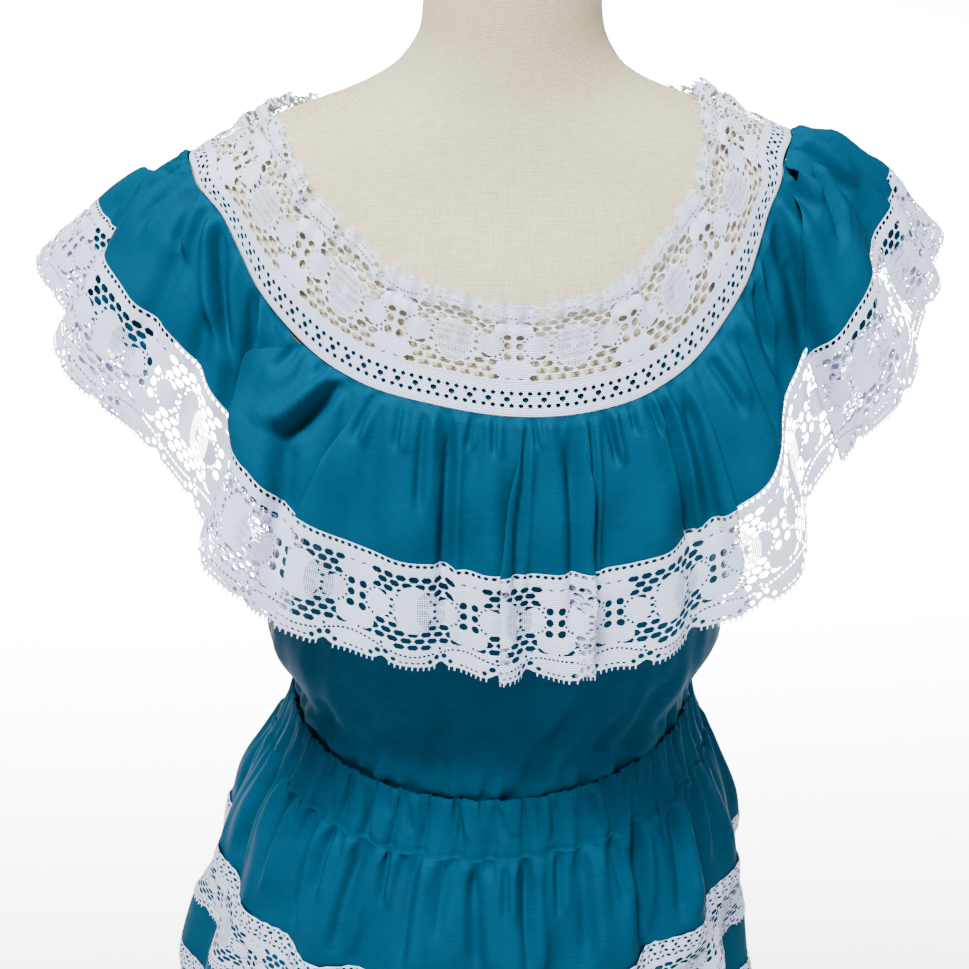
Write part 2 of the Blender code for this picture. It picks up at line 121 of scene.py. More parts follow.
# Where each soft panel stands, what it points at, its size, its power and its spread in
# degrees. The back one whitens the floor behind the set, and its narrow spread keeps most of
# its light off the cloth.
PANELS = [
    ("key_panel", (-0.5, -1.0, 3.6), (0.0, 0.0, 1.2), 0.6, 250.0, 180),
    ("side_panel", (2.4, -1.2, 2.0), (0.0, 0.0, 1.2), 1.6, 22.0, 180),
    ("back_panel", (0.0, 3.5, 4.0), (0.0, 3.5, 0.0), 4.0, 1300.0, 45),
]

for name, place, target, size, power, spread in PANELS:
    light = bpy.data.lights.new(name, "AREA")
    light.size = size
    light.energy = power
    light.spread = math.radians(spread)
    made = bpy.data.objects.new(name, light)
    made.location = place
    made.rotation_euler = (Vector(target) - Vector(place)).to_track_quat("-Z", "Y").to_euler()
    bpy.context.scene.collection.objects.link(made)


# The stand is a flat round foot and a tube, both white powder-coated steel. The foot is a
# pressed disc with a rolled edge, and the tube is welded into a low collar on it.

MM = 0.001
BASE_RADIUS = 0.170
BASE_HEIGHT = 0.014
BASE_ROLL = 0.004
POLE_RADIUS = 0.0125
TORSO_BOTTOM = 0.800
SEAM_GAP = 0.3 * MM
# How far the collar stands out from the tube, and its height above the foot.
COLLAR = [(0.010, SEAM_GAP), (0.010, 0.006), (0.008, 0.009), (0.001, 0.012), (0.0, 0.014)]


def finish(tree, shader, tone, bump, roughness):
    """Gives a shader its colour, its bump and its roughness."""
    tree.links.new(tone.outputs["Color"], shader.inputs["Base Color"])
    tree.links.new(bump.outputs["Normal"], shader.inputs["Normal"])
    shader.inputs["Roughness"].default_value = roughness


# Powder coat is slightly pebbled, about 0.6 mm across, with dust in patches of about 70 mm.
PEBBLE = 0.625 * MM
DUST_PATCHES_PER_METRE = 14.0
steel, tree, shader = new_material("powder_coated_steel")
place = add(tree, "TexCoord", {})
pebble = add(tree, "TexNoise", {"Vector": place.outputs["Object"], "Scale": 1 / PEBBLE})
dust = add(tree, "TexNoise", {"Vector": place.outputs["Object"],
                              "Scale": DUST_PATCHES_PER_METRE, "Detail": 4.0})
tone = add(tree, "MixRGB", {"Fac": dust.outputs["Fac"], "Color1": linear("#E9E7E1"),
                            "Color2": linear("#DEDBD3")})
bump = add(tree, "Bump", {"Height": pebble.outputs["Fac"], "Strength": 0.2,
                          "Distance": 0.1 * MM})
finish(tree, shader, tone, bump, 0.38)


def keep(mesh, name, made, node_names):
    """Turns a bmesh into a finished piece that stands for some CAD nodes."""
    data = bpy.data.meshes.new(name)
    mesh.to_mesh(data)
    mesh.free()
    return keep_data(data, name, made, node_names)


def keep_data(data, name, made, node_names):
    """The same for a mesh that is already made."""
    data.materials.append(made)
    data.shade_smooth()
    piece = bpy.data.objects.new(name, data)
    bpy.context.scene.collection.objects.link(piece)
    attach(piece, "root")
    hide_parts(*node_names)
    return piece


def spun(profile, steps):
    """A solid turned about the axis from radius and height pairs, from its foot to its top."""
    mesh = bmesh.new()
    points = [mesh.verts.new((radius, 0.0, height)) for radius, height in profile]
    edges = [mesh.edges.new(pair) for pair in zip(points, points[1:])]
    bmesh.ops.spin(mesh, geom=points + edges, cent=(0, 0, 0), axis=(0, 0, 1),
                   angle=math.tau, steps=steps, use_merge=True)
    bmesh.ops.remove_doubles(mesh, verts=mesh.verts, dist=MM / 100)
    bmesh.ops.recalc_face_normals(mesh, faces=mesh.faces)
    return mesh


foot = [(0.0, 0.0), (BASE_RADIUS - BASE_ROLL, 0.0)]
for middle, start in ((BASE_ROLL, -90), (BASE_HEIGHT - BASE_ROLL, 0)):
    for step in range(7):
        turn = math.radians(start + 15 * step)
        foot.append((BASE_RADIUS - BASE_ROLL + BASE_ROLL * math.cos(turn),
                     middle + BASE_ROLL * math.sin(turn)))
foot += [(0.060, BASE_HEIGHT), (0.024, BASE_HEIGHT), (0.0, BASE_HEIGHT)]
tube = [(0.0, BASE_HEIGHT + SEAM_GAP)]
tube += [(POLE_RADIUS + out, BASE_HEIGHT + up) for out, up in COLLAR]
tube += [(POLE_RADIUS, TORSO_BOTTOM - SEAM_GAP), (0.0, TORSO_BOTTOM - SEAM_GAP)]
for name, profile, around, node in (("foot", foot, 96, "base"), ("tube", tube, 48, "pole")):
    piece = keep(spun(profile, around), name, steel, [node])
    piece.data.set_sharp_from_angle(angle=math.radians(40))


# The form is a papier-mache torso without limbs, padded and covered in natural linen that
# is stitched in panels. Its neck ends in a flat wooden cap.

NECK_TOP = 1.560
NECK_CAP_HEIGHT = 0.012
NECK_SHIFT = 0.004

# Level sections of the form: height, half width, reach in front, reach behind.
TORSO = [
    (0.800, 0.146, 0.098, 0.110),
    (0.835, 0.155, 0.106, 0.118),
    (0.900, 0.152, 0.106, 0.112),
    (0.980, 0.132, 0.101, 0.092),
    (1.050, 0.116, 0.096, 0.080),
    (1.110, 0.121, 0.100, 0.083),
    (1.190, 0.136, 0.114, 0.093),
    (1.270, 0.148, 0.127, 0.101),
    (1.310, 0.155, 0.123, 0.103),
    (1.350, 0.166, 0.110, 0.103),
    (1.385, 0.176, 0.095, 0.100),
    (1.408, 0.180, 0.079, 0.090),
    (1.424, 0.175, 0.068, 0.080),
    (1.436, 0.152, 0.062, 0.072),
    (1.447, 0.126, 0.057, 0.066),
    (1.458, 0.094, 0.053, 0.062),
    (1.470, 0.071, 0.049, 0.059),
    (1.488, 0.055, 0.046, 0.057),
    (1.520, 0.048, 0.044, 0.056),
    (1.560, 0.047, 0.043, 0.055),
]


def through(points, column, x):
    """A smooth curve through one column of a table, read at x, level past both ends."""
    table = np.array(sorted(points), float)
    xs, ys = table[:, 0], table[:, column]
    slope = np.gradient(ys, xs)
    x = np.clip(x, xs[0], xs[-1])
    i = np.clip(np.searchsorted(xs, x) - 1, 0, len(xs) - 2)
    span = xs[i + 1] - xs[i]
    t = (x - xs[i]) / span
    rise = t * (1 - t) ** 2 * span * slope[i] - t * t * (1 - t) * span * slope[i + 1]
    return (1 + 2 * t) * (1 - t) ** 2 * ys[i] + t * t * (3 - 2 * t) * ys[i + 1] + rise


def ease(t):
    """0 to 1, level at both ends."""
    t = np.clip(t, 0.0, 1.0)
    return t * t * (3 - 2 * t)


def oval(angle, half_width, middle, front, back):
    """A level oval's x and y at an angle from the front."""
    reach = np.where(np.cos(angle) > 0, front, back)
    return middle + half_width * np.sin(angle), -reach * np.cos(angle)


def torso(angle, z, grow=0.0):
    """The form's outside, or that much outside it."""
    half_width = through(TORSO, 1, z) + grow
    front = through(TORSO, 2, z) + grow
    back = through(TORSO, 3, z) + grow
    x, y = oval(angle, half_width, NECK_SHIFT * ease((z - 1.44) / 0.06), front, back)
    return np.stack([x, y, z + 0 * x], axis=-1)


def sheet_mesh(name, surface, span, levels, columns, rows, closed=False, unit=(1.0, 1.0)):
    """A grid laid on a surface: span across it, levels down it. Its UV map is in metres,
    unit being the cloth's length for one turn of span and one of levels. A closed sheet
    meets itself, and its first and last columns are joined."""
    mesh = bmesh.new()
    bmesh.ops.create_grid(mesh, x_segments=columns, y_segments=rows, size=0.5)
    data = bpy.data.meshes.new(name)
    mesh.to_mesh(data)
    mesh.free()
    flat = np.empty(len(data.vertices) * 3)
    data.vertices.foreach_get("co", flat)
    flat = flat.reshape(-1, 3)[:, :2] + 0.5
    across = span[0] + (span[1] - span[0]) * flat[:, 0]
    down = levels[0] + (levels[1] - levels[0]) * flat[:, 1]
    data.vertices.foreach_set("co", surface(across, down).ravel())
    corners = np.empty(len(data.loops), int)
    data.loops.foreach_get("vertex_index", corners)
    unrolled = np.stack([flat[:, 0] * unit[0], flat[:, 1] * unit[1]], axis=-1)
    uv = data.uv_layers.new(name="cloth")
    uv.data.foreach_set("uv", unrolled[corners].ravel())
    if closed:
        mesh = bmesh.new()
        mesh.from_mesh(data)
        ends = [v for v in mesh.verts if abs(flat[v.index][0] - 0.5) > 0.4999]
        bmesh.ops.remove_doubles(mesh, verts=ends, dist=MM / 100)
        mesh.to_mesh(data)
        mesh.free()
    data.update()
    return data


def face_outwards(data):
    """Turns the faces of a sheet so that they point away from the axis."""
    normal = np.empty(len(data.polygons) * 3)
    data.polygons.foreach_get("normal", normal)
    middle = np.empty(len(data.polygons) * 3)
    data.polygons.foreach_get("center", middle)
    out = (normal * middle).reshape(-1, 3)[:, :2].sum()
    if out < 0:
        data.flip_normals()
    return data


# At scale 1 the bands of a Wave texture are this far apart, in metres.
WAVE_BAND = 0.314


def plain_weave(tree, thread, spacing, distortion, detail_scale):
    """Warp and weft as the sum of two waves, spacing being that of the threads."""
    waves = [add(tree, "TexWave", {"Vector": thread.outputs["UV"], "Scale": WAVE_BAND / spacing,
                                   "Distortion": distortion, "Detail": 1.0,
                                   "Detail Scale": detail_scale}, bands_direction=way)
             for way in ("X", "Y")]
    return add(tree, "Math", {0: waves[0].outputs["Fac"], 1: waves[1].outputs["Fac"]},
               operation="ADD")


# Linen is a matt plain weave of uneven yarn. Its threads lie about 1.1 mm apart here, a little
# coarser than real so that they show. Slubs, thicker stretches of yarn along both directions,
# are about 11 mm long and 1.1 mm wide.
LINEN_THREAD = 1.1 * MM
SLUBS_PER_METRE = 90.0
YARNS_PER_METRE = 900.0
linen, tree, shader = new_material("natural_linen")
thread = add(tree, "UVMap", {})
weave = plain_weave(tree, thread, LINEN_THREAD, 0.8, 0.3)
yarns = []
for scale in ((SLUBS_PER_METRE, YARNS_PER_METRE, 1.0), (YARNS_PER_METRE, SLUBS_PER_METRE, 1.0)):
    drawn_out = add(tree, "Mapping", {"Vector": thread.outputs["UV"], "Scale": scale})
    yarns.append(add(tree, "TexNoise", {"Vector": drawn_out.outputs["Vector"], "Scale": 1.0,
                                        "Detail": 2.0}))
slubs = add(tree, "Math", {0: yarns[0].outputs["Fac"], 1: yarns[1].outputs["Fac"]},
            operation="ADD")
shade = add(tree, "MapRange", {"Value": slubs.outputs[0], "From Min": 0.7, "From Max": 1.35})
tone = add(tree, "MixRGB", {"Fac": shade.outputs[0], "Color1": linear("#D0C4A3"),
                            "Color2": linear("#B5A884")})
grid = add(tree, "MapRange", {"Value": weave.outputs[0], "From Min": 0.0, "From Max": 2.0,
                              "To Min": 0.80, "To Max": 1.08})
cloth = add(tree, "MixRGB", {"Fac": 1.0, "Color1": tone.outputs["Color"],
                             "Color2": grid.outputs[0]}, blend_type="MULTIPLY")
height = add(tree, "Math", {0: weave.outputs[0], 1: slubs.outputs[0]}, operation="ADD")
bump = add(tree, "Bump", {"Height": height.outputs[0], "Strength": 0.35,
                          "Distance": 0.5 * MM})
finish(tree, shader, cloth, bump, 0.92)

FULL_TURN = (-math.pi, math.pi)
# The linen's length round the form, for its weave.
FORM_ROUND = 0.92
form_data = sheet_mesh("form", torso, FULL_TURN, (TORSO_BOTTOM, NECK_TOP), 128, 130,
                       closed=True, unit=(FORM_ROUND, NECK_TOP - TORSO_BOTTOM))
mesh = bmesh.new()
mesh.from_mesh(form_data)
bmesh.ops.holes_fill(mesh, edges=[e for e in mesh.edges if e.is_boundary])
bmesh.ops.recalc_face_normals(mesh, faces=mesh.faces)
mesh.to_mesh(form_data)
mesh.free()
keep_data(form_data, "form", linen, ["dress_form"])
form_data.set_sharp_from_angle(angle=math.radians(50))

# Beech has a fine straight grain, here about 3 mm wide and 18 mm long, and wax leaves it a
# soft shine.
GRAIN_PER_METRE = (360.0, 54.0, 360.0)
GRAIN_STEP = 6.0
wood, tree, shader = new_material("waxed_beech")
place = add(tree, "TexCoord", {})
drawn_out = add(tree, "Mapping", {"Vector": place.outputs["Object"],
                                  "Scale": [g / GRAIN_STEP for g in GRAIN_PER_METRE]})
grain = add(tree, "TexNoise", {"Vector": drawn_out.outputs["Vector"], "Scale": GRAIN_STEP,
                               "Detail": 8.0, "Distortion": 0.6})
tone = add(tree, "MixRGB", {"Fac": grain.outputs["Fac"], "Color1": linear("#C9A271"),
                            "Color2": linear("#A87E4E")})
bump = add(tree, "Bump", {"Height": grain.outputs["Fac"], "Strength": 0.15,
                          "Distance": 0.3 * MM})
finish(tree, shader, tone, bump, 0.45)
shader.inputs["Coat Weight"].default_value = 0.2

# The cap's edge: how far it stands out past the neck, and the height above its underside.
CAP_EDGE = [(-0.030, SEAM_GAP), (0.0005, SEAM_GAP), (0.0010, 0.0012), (0.0010, 0.0085),
            (0.0004, 0.0104), (-0.0010, 0.0116), (-0.0030, NECK_CAP_HEIGHT),
            (-0.0300, NECK_CAP_HEIGHT)]
mesh = bmesh.new()
turns = np.linspace(0, math.tau, 96, endpoint=False)
rings = []
for grow, up in CAP_EDGE:
    ring = torso(turns, np.full(turns.shape, NECK_TOP), grow) + (0, 0, up)
    points = [mesh.verts.new(p) for p in ring]
    rings.append([mesh.edges.new((points[i - 1], points[i])) for i in range(len(points))])
for low, high in zip(rings, rings[1:]):
    bmesh.ops.bridge_loops(mesh, edges=low + high)
bmesh.ops.holes_fill(mesh, edges=[e for e in mesh.edges if e.is_boundary])
bmesh.ops.recalc_face_normals(mesh, faces=mesh.faces)
cap = keep(mesh, "cap", wood, ["neck_cap"])
cap.data.set_sharp_from_angle(angle=math.radians(40))


# The skirt is poplin, a plain-woven cotton, in four tiers gathered one to the next. Its
# waist is turned over as a casing for flat elastic, stitched down 38 mm below the edge.

# Each RISE is the height over which a tier's own folds take over from those above it, and
# GATHERED is the share of their full height that the two lower tiers' folds have at the seam.
WAIST = 1.066
WAIST_DIP = 0.011
WAIST_TILT = 0.002
CASING_DEPTH = 0.038
CASING_FADE = 0.014
YOKE_START = 0.020
YOKE_RISE = 0.090
TIER_2_RISE = 0.060
TIER_3_RISE = 0.070
HEM_RISE = 0.090
GATHERED = 0.7
ROW_1 = 0.942
ROW_2 = 0.846
TIER_3_END = 0.585
SKIRT_HEM = 0.255
CLOTH_WALL = 1.2 * MM

# The skirt's level sections: height, half width, middle, reach in front, reach behind.
SKIRT = [
    (0.255, 0.350, -0.018, 0.335, 0.330),
    (0.400, 0.302, -0.022, 0.287, 0.282),
    (0.600, 0.246, -0.026, 0.233, 0.226),
    (0.801, 0.199, -0.026, 0.192, 0.179),
    (0.855, 0.190, -0.024, 0.181, 0.163),
    (0.914, 0.177, -0.018, 0.169, 0.148),
    (0.950, 0.169, -0.014, 0.158, 0.138),
    (0.985, 0.159, -0.012, 0.143, 0.125),
    (1.006, 0.150, -0.010, 0.132, 0.116),
    (1.028, 0.140, -0.008, 0.122, 0.107),
    (1.045, 0.133, -0.007, 0.117, 0.101),
    (1.075, 0.127, -0.006, 0.112, 0.096),
]


def in_degrees(angle):
    """An angle from the front in degrees, from -180 to 180."""
    return np.degrees(np.mod(angle + math.pi, math.tau) - math.pi)


def folds_at(angle, folds):
    """The height of the folds at each angle, all round: ridges and troughs joined softly."""
    turns = np.array([math.radians(a) for a, _ in folds])
    heights = np.array([h * MM for _, h in folds])
    turns = np.append(turns, turns[0] + math.tau)
    heights = np.append(heights, heights[0])
    around = np.mod(angle - turns[0], math.tau) + turns[0]
    i = np.clip(np.searchsorted(turns, around, side="right") - 1, 0, len(turns) - 2)
    t = ease((around - turns[i]) / (turns[i + 1] - turns[i]))
    return heights[i] + (heights[i + 1] - heights[i]) * t


def gathers(count, depth, seed):
    """A fold table with this many ridges, uneven in height and spacing."""
    random = np.random.default_rng(seed)
    step = 360 / (2 * count)
    rows = []
    for i in range(2 * count):
        angle = -180 + step * (i + 0.5 + random.uniform(-0.22, 0.22))
        side = 1 if i % 2 == 0 else -1
        rows.append((angle, side * depth / MM * random.uniform(0.6, 1.25)))
    return rows


def normals(surface, angle, at, level=False):
    """Points of a surface and its unit normals, away from the axis, or their level direction."""
    turn = surface(angle + 1e-4, at) - surface(angle - 1e-4, at)
    fall = surface(angle, at + 1e-4) - surface(angle, at - 1e-4)
    normal = np.cross(turn, fall)
    if level:
        normal[..., 2] = 0
    normal /= np.linalg.norm(normal, axis=-1, keepdims=True)
    point = surface(angle, at)
    outward = point * (1, 1, 0) + (0, 0, 0.05)
    return point, normal * np.sign(np.sum(normal * outward))


CASING_FOLDS = gathers(44, 2.2 * MM, 3)
YOKE_FOLDS = gathers(16, 6 * MM, 5)
TIER_2_FOLDS = gathers(17, 8 * MM, 8)
TIER_3_FOLDS = gathers(20, 12 * MM, 11)
HEM_FOLDS = gathers(22, 17 * MM, 14)


def waist_height(angle):
    """The casing's upper edge is lowest in front and a little higher on one side."""
    return WAIST - WAIST_DIP * np.cos(angle) + WAIST_TILT * np.sin(angle)


def skirt_fold(angle, z):
    """The folds grow down each tier and are drawn in again at its seams."""
    down = waist_height(angle) - z
    still_casing = ease((CASING_DEPTH + CASING_FADE - down) / CASING_FADE)
    casing = folds_at(angle, CASING_FOLDS) * still_casing
    yoke = folds_at(angle, YOKE_FOLDS) * ease((down - YOKE_START) / YOKE_RISE)
    blend_2 = ease((ROW_1 - z) / TIER_2_RISE)
    blend_3 = ease((ROW_2 - z) / TIER_3_RISE)
    blend_4 = ease((TIER_3_END - z) / HEM_RISE)
    tier_2 = folds_at(angle, TIER_2_FOLDS)
    grown = GATHERED + (1 - GATHERED) * ease((ROW_2 - z) / (ROW_2 - TIER_3_END))
    tier_3 = folds_at(angle, TIER_3_FOLDS) * grown
    grown = GATHERED + (1 - GATHERED) * ease((TIER_3_END - z) / (TIER_3_END - SKIRT_HEM))
    hem = folds_at(angle, HEM_FOLDS) * grown
    fold = casing + yoke
    fold = fold + (tier_2 - fold) * blend_2
    fold = fold + (tier_3 - fold) * blend_3
    return fold + (hem - fold) * blend_4


def skirt(angle, z):
    """The skirt's inner side, folds and all."""
    half_width = through(SKIRT, 1, z)
    middle = through(SKIRT, 2, z)
    front = through(SKIRT, 3, z)
    back = through(SKIRT, 4, z)
    fold = skirt_fold(angle, z)
    x, y = oval(angle, half_width + fold, middle, front + fold, back + fold)
    return np.stack([x, y, z + 0 * x], axis=-1)


def raised(surface, relief, angle, at):
    """A surface moved out along its normals by a relief, in metres."""
    point, normal = normals(surface, angle, at)
    return point + normal * relief[:, None]


def short_gathers(angle, run, count, depth, seed, length):
    """Gathers that leave a seam and die away down the cloth; run is the distance from it."""
    start = 1 - np.exp(-run / (2.5 * MM))
    strength = np.exp(-run / length) * start
    return folds_at(angle, gathers(count, depth, seed)) * strength


def creased(angle, run, table, radius):
    """Single creases, listed in a table. Each row: the angle where it starts and ends, the
    distance down the cloth where it starts and ends, its half width, its depth, and how much of
    that stands up as a ridge beside it, below 0 on the side of lesser angle."""
    total = np.zeros(np.shape(angle))
    degrees = in_degrees(angle)
    for turn_0, turn_1, run_0, run_1, width, depth, ridge in table:
        along = (run / MM - run_0) / (run_1 - run_0)
        middle = turn_0 + (turn_1 - turn_0) * np.clip(along, 0, 1)
        away = np.radians(degrees - middle) * radius / MM / width
        fade = ease(along / 0.18) * ease((1 - along) / 0.30)
        fade = np.where(along < 0, 0, fade)
        beside = away - 1.9 * np.sign(ridge)
        shape = -np.exp(-away ** 2) + abs(ridge) * np.exp(-beside ** 2 / 1.6)
        total += depth * MM * shape * fade
    return total


def slack(angle, run, size):
    """The soft unevenness of loose cloth: crossed waves of unlike lengths, about size high."""
    wave = np.sin(angle * 23 + run * 41) * np.sin(run * 63 - angle * 7 + 1)
    wave += 0.6 * np.sin(angle * 37 - run * 55 + 2) * np.sin(run * 29 + angle * 11)
    return size * wave


# Poplin is a close, nearly matt plain weave of about 40 threads a centimetre. Here they are
# 0.7 mm apart so that they show. The dye takes unevenly over patches of about 55 mm, the yarn's
# thick places are faint lines about 17 mm long, and ironed cotton keeps a crumple of 20 mm.
POPLIN_THREAD = 0.7 * MM
DYE_PATCHES_PER_METRE = 18.0
THICK_YARNS_PER_METRE = (60.0, 1400.0, 1.0)
CRUMPLES_PER_METRE = 45.0
poplin, tree, shader = new_material("teal_poplin")
place = add(tree, "TexCoord", {})
thread = add(tree, "UVMap", {})
weave = plain_weave(tree, thread, POPLIN_THREAD, 0.6, 1.0)
patch = add(tree, "TexNoise", {"Vector": place.outputs["Object"],
                               "Scale": DYE_PATCHES_PER_METRE, "Detail": 3.0})
lines = add(tree, "Mapping", {"Vector": thread.outputs["UV"], "Scale": THICK_YARNS_PER_METRE})
yarn = add(tree, "TexNoise", {"Vector": lines.outputs["Vector"], "Scale": 1.0, "Detail": 2.0})
dye = add(tree, "Math", {0: patch.outputs["Fac"], 1: yarn.outputs["Fac"]}, operation="ADD")
amount = add(tree, "MapRange", {"Value": dye.outputs[0], "From Min": 0.6, "From Max": 1.4})
tone = add(tree, "MixRGB", {"Fac": amount.outputs[0], "Color1": linear("#00354B"),
                            "Color2": linear("#004059")})
bump = add(tree, "Bump", {"Height": weave.outputs[0], "Strength": 0.10,
                          "Distance": 0.2 * MM})
crumple = add(tree, "TexNoise", {"Vector": place.outputs["Object"],
                                 "Scale": CRUMPLES_PER_METRE, "Detail": 4.0,
                                 "Roughness": 0.55})
soft = add(tree, "Bump", {"Height": crumple.outputs["Fac"], "Strength": 0.25,
                          "Distance": 4 * MM, "Normal": bump.outputs["Normal"]})
finish(tree, shader, tone, soft, 0.72)
shader.inputs["Specular IOR Level"].default_value = 0.04

# The cut length of each tier round the skirt.
WAIST_CUT = 1.10
YOKE_CUT = 1.10
TIER_2_CUT = 1.30
TIER_3_CUT = 1.79
HEM_CUT = 2.65

# The casing's puckers in front: angles, distances down, half width, depth, ridge.
CASING_CREASES = [
    (-50, -46, 0, 36, 3.0, 2.2, 0.7),
    (-44, -42, 0, 30, 2.2, 1.8, 0.6),
    (-38, -33, 2, 40, 3.0, 2.6, 0.8),
    (-31, -29, 0, 20, 2.0, 1.4, 0.6),
    (-26, -22, 0, 27, 2.2, 2.2, 0.7),
    (-12, -9, 0, 28, 2.2, 2.4, 0.7),
    (-5, -4, 0, 14, 1.8, 1.2, 0.5),
    (0, 2, 4, 26, 2.2, 1.8, 0.7),
    (10, 11, 2, 30, 2.2, 2.0, 0.7),
    (16, 15, 0, 18, 1.8, 1.2, 0.5),
    (25, 27, 4, 38, 2.4, 2.4, 0.7),
    (36, 33, 2, 38, 2.6, 2.4, 0.7),
    (44, 43, 0, 24, 2.2, 1.6, 0.6),
    (58, 60, 0, 34, 2.8, 2.4, 0.7),
]


def casing_detail(angle, down):
    """Puckers drawn in by the elastic, strongest at the edge and at the stitched line."""
    puckers = short_gathers(angle, down + 3 * MM, 96, 1.3 * MM, 21, 0.018)
    puckers += short_gathers(angle, down + 3 * MM, 158, 1.1 * MM, 25, 0.010)
    puckers -= 0.80 * folds_at(angle, CASING_FOLDS) * np.exp(-down / (12 * MM))
    lower = short_gathers(angle, np.abs(CASING_DEPTH - down) + 2 * MM, 84, 1.0 * MM, 22, 0.012)
    edge = -1.2 * MM * np.exp(-(down / (2.2 * MM)) ** 2)
    line = -0.9 * MM * np.exp(-((down - CASING_DEPTH + 2 * MM) / (1.4 * MM)) ** 2)
    return puckers + lower + edge + line + creased(angle, down, CASING_CREASES, 0.13)


def casing_cloth(angle, down):
    """The casing, by the distance below its upper edge."""
    surface = lambda a, d: skirt(a, waist_height(a) - d)
    return raised(surface, CLOTH_WALL + casing_detail(angle, down), angle, down)


YOKE_LENGTH = 0.085

# The yoke's folds below the casing: angles, distances down, half width, depth, ridge.
YOKE_CREASES = [
    (-74, -76, 0, 84, 5.0, 4.0, 0.7),
    (-62, -60, 0, 70, 4.0, 3.6, 0.7),
    (-50, -47, 0, 84, 4.0, 5.0, 0.8),
    (-44, -42, 0, 50, 3.0, 3.0, 0.7),
    (-34, -35, 0, 84, 4.4, 5.0, 0.8),
    (-27, -26, 0, 40, 2.6, 3.0, 0.7),
    (-20, -19, 0, 84, 4.6, 4.6, 0.7),
    (-12, -12, 0, 54, 3.0, 3.0, 0.7),
    (-5, -3, 0, 84, 4.4, 4.6, 0.8),
    (2, 3, 0, 40, 2.4, 2.6, 0.7),
    (7, 8, 0, 84, 3.6, 4.4, 0.7),
    (15, 15, 0, 46, 2.8, 3.0, 0.7),
    (22, 21, 0, 84, 4.4, 4.4, 0.7),
    (30, 31, 0, 50, 3.0, 3.2, 0.7),
    (38, 35, 0, 84, 4.0, 4.6, 0.8),
    (50, 46, 0, 84, 4.6, 5.0, 0.8),
    (62, 60, 0, 70, 4.0, 4.0, 0.7),
    (76, 78, 0, 84, 5.0, 4.4, 0.7),
    (104, 102, 0, 84, 5.0, 4.4, 0.7),
    (126, 128, 0, 84, 4.6, 4.4, 0.7),
    (149, 147, 0, 84, 4.6, 4.6, 0.7),
    (170, 171, 0, 84, 4.6, 4.6, 0.7),
    (-168, -167, 0, 84, 4.6, 4.6, 0.7),
    (-146, -148, 0, 84, 4.6, 4.6, 0.7),
    (-122, -120, 0, 84, 5.0, 4.6, 0.7),
    (-98, -99, 0, 84, 5.0, 4.6, 0.7),
]


def yoke_level(angle, down):
    """The height of the yoke's cloth: its upper edge dips, and its seam is level."""
    top = waist_height(angle) - CASING_DEPTH
    return top + (ROW_1 - top) * down / YOKE_LENGTH


def yoke_cloth(angle, down):
    """The yoke, by the distance below the casing's stitched line."""
    surface = lambda a, d: skirt(a, yoke_level(a, d))
    relief = short_gathers(angle, down, 84, 1.6 * MM, 22, 0.020)
    relief += short_gathers(angle, down, 36, 2.2 * MM, 24, 0.060)
    relief += slack(angle, down, 0.9 * MM) * ease(down / (20 * MM))
    relief += creased(angle, down, YOKE_CREASES, 0.15) * ease((YOKE_LENGTH - down) / (12 * MM))
    return raised(surface, CLOTH_WALL + relief, angle, down)


# How many short gathers leave the seam at each height, and the seed that they are drawn with.
TIER_GATHERS = {ROW_1: (110, 31), ROW_2: (120, 32), TIER_3_END: (130, 33)}


def tier_cloth(seam):
    """A lower tier, by its height: short gathers leave the seam above it."""
    count, seed = TIER_GATHERS[seam]

    def surface(angle, z):
        relief = short_gathers(angle, seam - z, count, 1.6 * MM, seed, 0.018)
        return raised(skirt, CLOTH_WALL + relief, angle, z)
    return surface


def halves(name):
    """The two CAD nodes of a tube: its front and its back."""
    return [f"{name}_front", f"{name}_back"]


def cloth_piece(name, surface, levels, columns, rows, cut):
    """A tube of poplin, cut that long and gathered round the form."""
    drop = abs(levels[1] - levels[0])
    data = sheet_mesh(name, surface, FULL_TURN, levels, columns, rows, closed=True,
                      unit=(cut, drop))
    piece = keep_data(face_outwards(data), name, poplin, halves(name))


cloth_piece("waist_casing", casing_cloth, (0.0, CASING_DEPTH), 1080, 20, WAIST_CUT)
cloth_piece("yoke", yoke_cloth, (0.0, YOKE_LENGTH), 900, 40, YOKE_CUT)
cloth_piece("tier_2", tier_cloth(ROW_1), (ROW_1, ROW_2), 900, 40, TIER_2_CUT)
cloth_piece("tier_3", tier_cloth(ROW_2), (ROW_2, TIER_3_END), 900, 64, TIER_3_CUT)
cloth_piece("hem_tier", tier_cloth(TIER_3_END), (TIER_3_END, SKIRT_HEM), 900, 64, HEM_CUT)


# The top's bodice is two pieces of the same poplin, sewn at the sides, cut away round the
# armholes and held up by the neck seam. It is tucked into the skirt.

BODICE_HEM = 0.992
BODICE_DROP = 2 * MM
BODICE_SHIFT = -0.0045
UNDERARM = 1.250
ARMHOLE_REACH = math.radians(42)
# The pinches where the casing holds the tucked cloth, above the bodice's hem.
TUCK_HEIGHT = 0.070
TUCK_REACH = 0.014

# How far the bodice stands off the form: height, at the sides, in front, behind.
BODICE_EASE = [
    (0.992, 0.009, 0.011, 0.011),
    (1.045, 0.0100, 0.0130, 0.0130),
    (1.066, 0.0073, 0.0120, 0.0095),
    (1.078, 0.0074, 0.0105, 0.0065),
    (1.090, 0.0145, 0.0100, 0.0110),
    (1.105, 0.021, 0.010, 0.014),
    (1.150, 0.014, 0.009, 0.012),
    (1.200, 0.007, 0.004, 0.008),
    (1.250, 0.004, 0.003, 0.004),
    (1.320, 0.0065, 0.002, 0.005),
    (1.370, 0.002, 0.0014, 0.002),
]

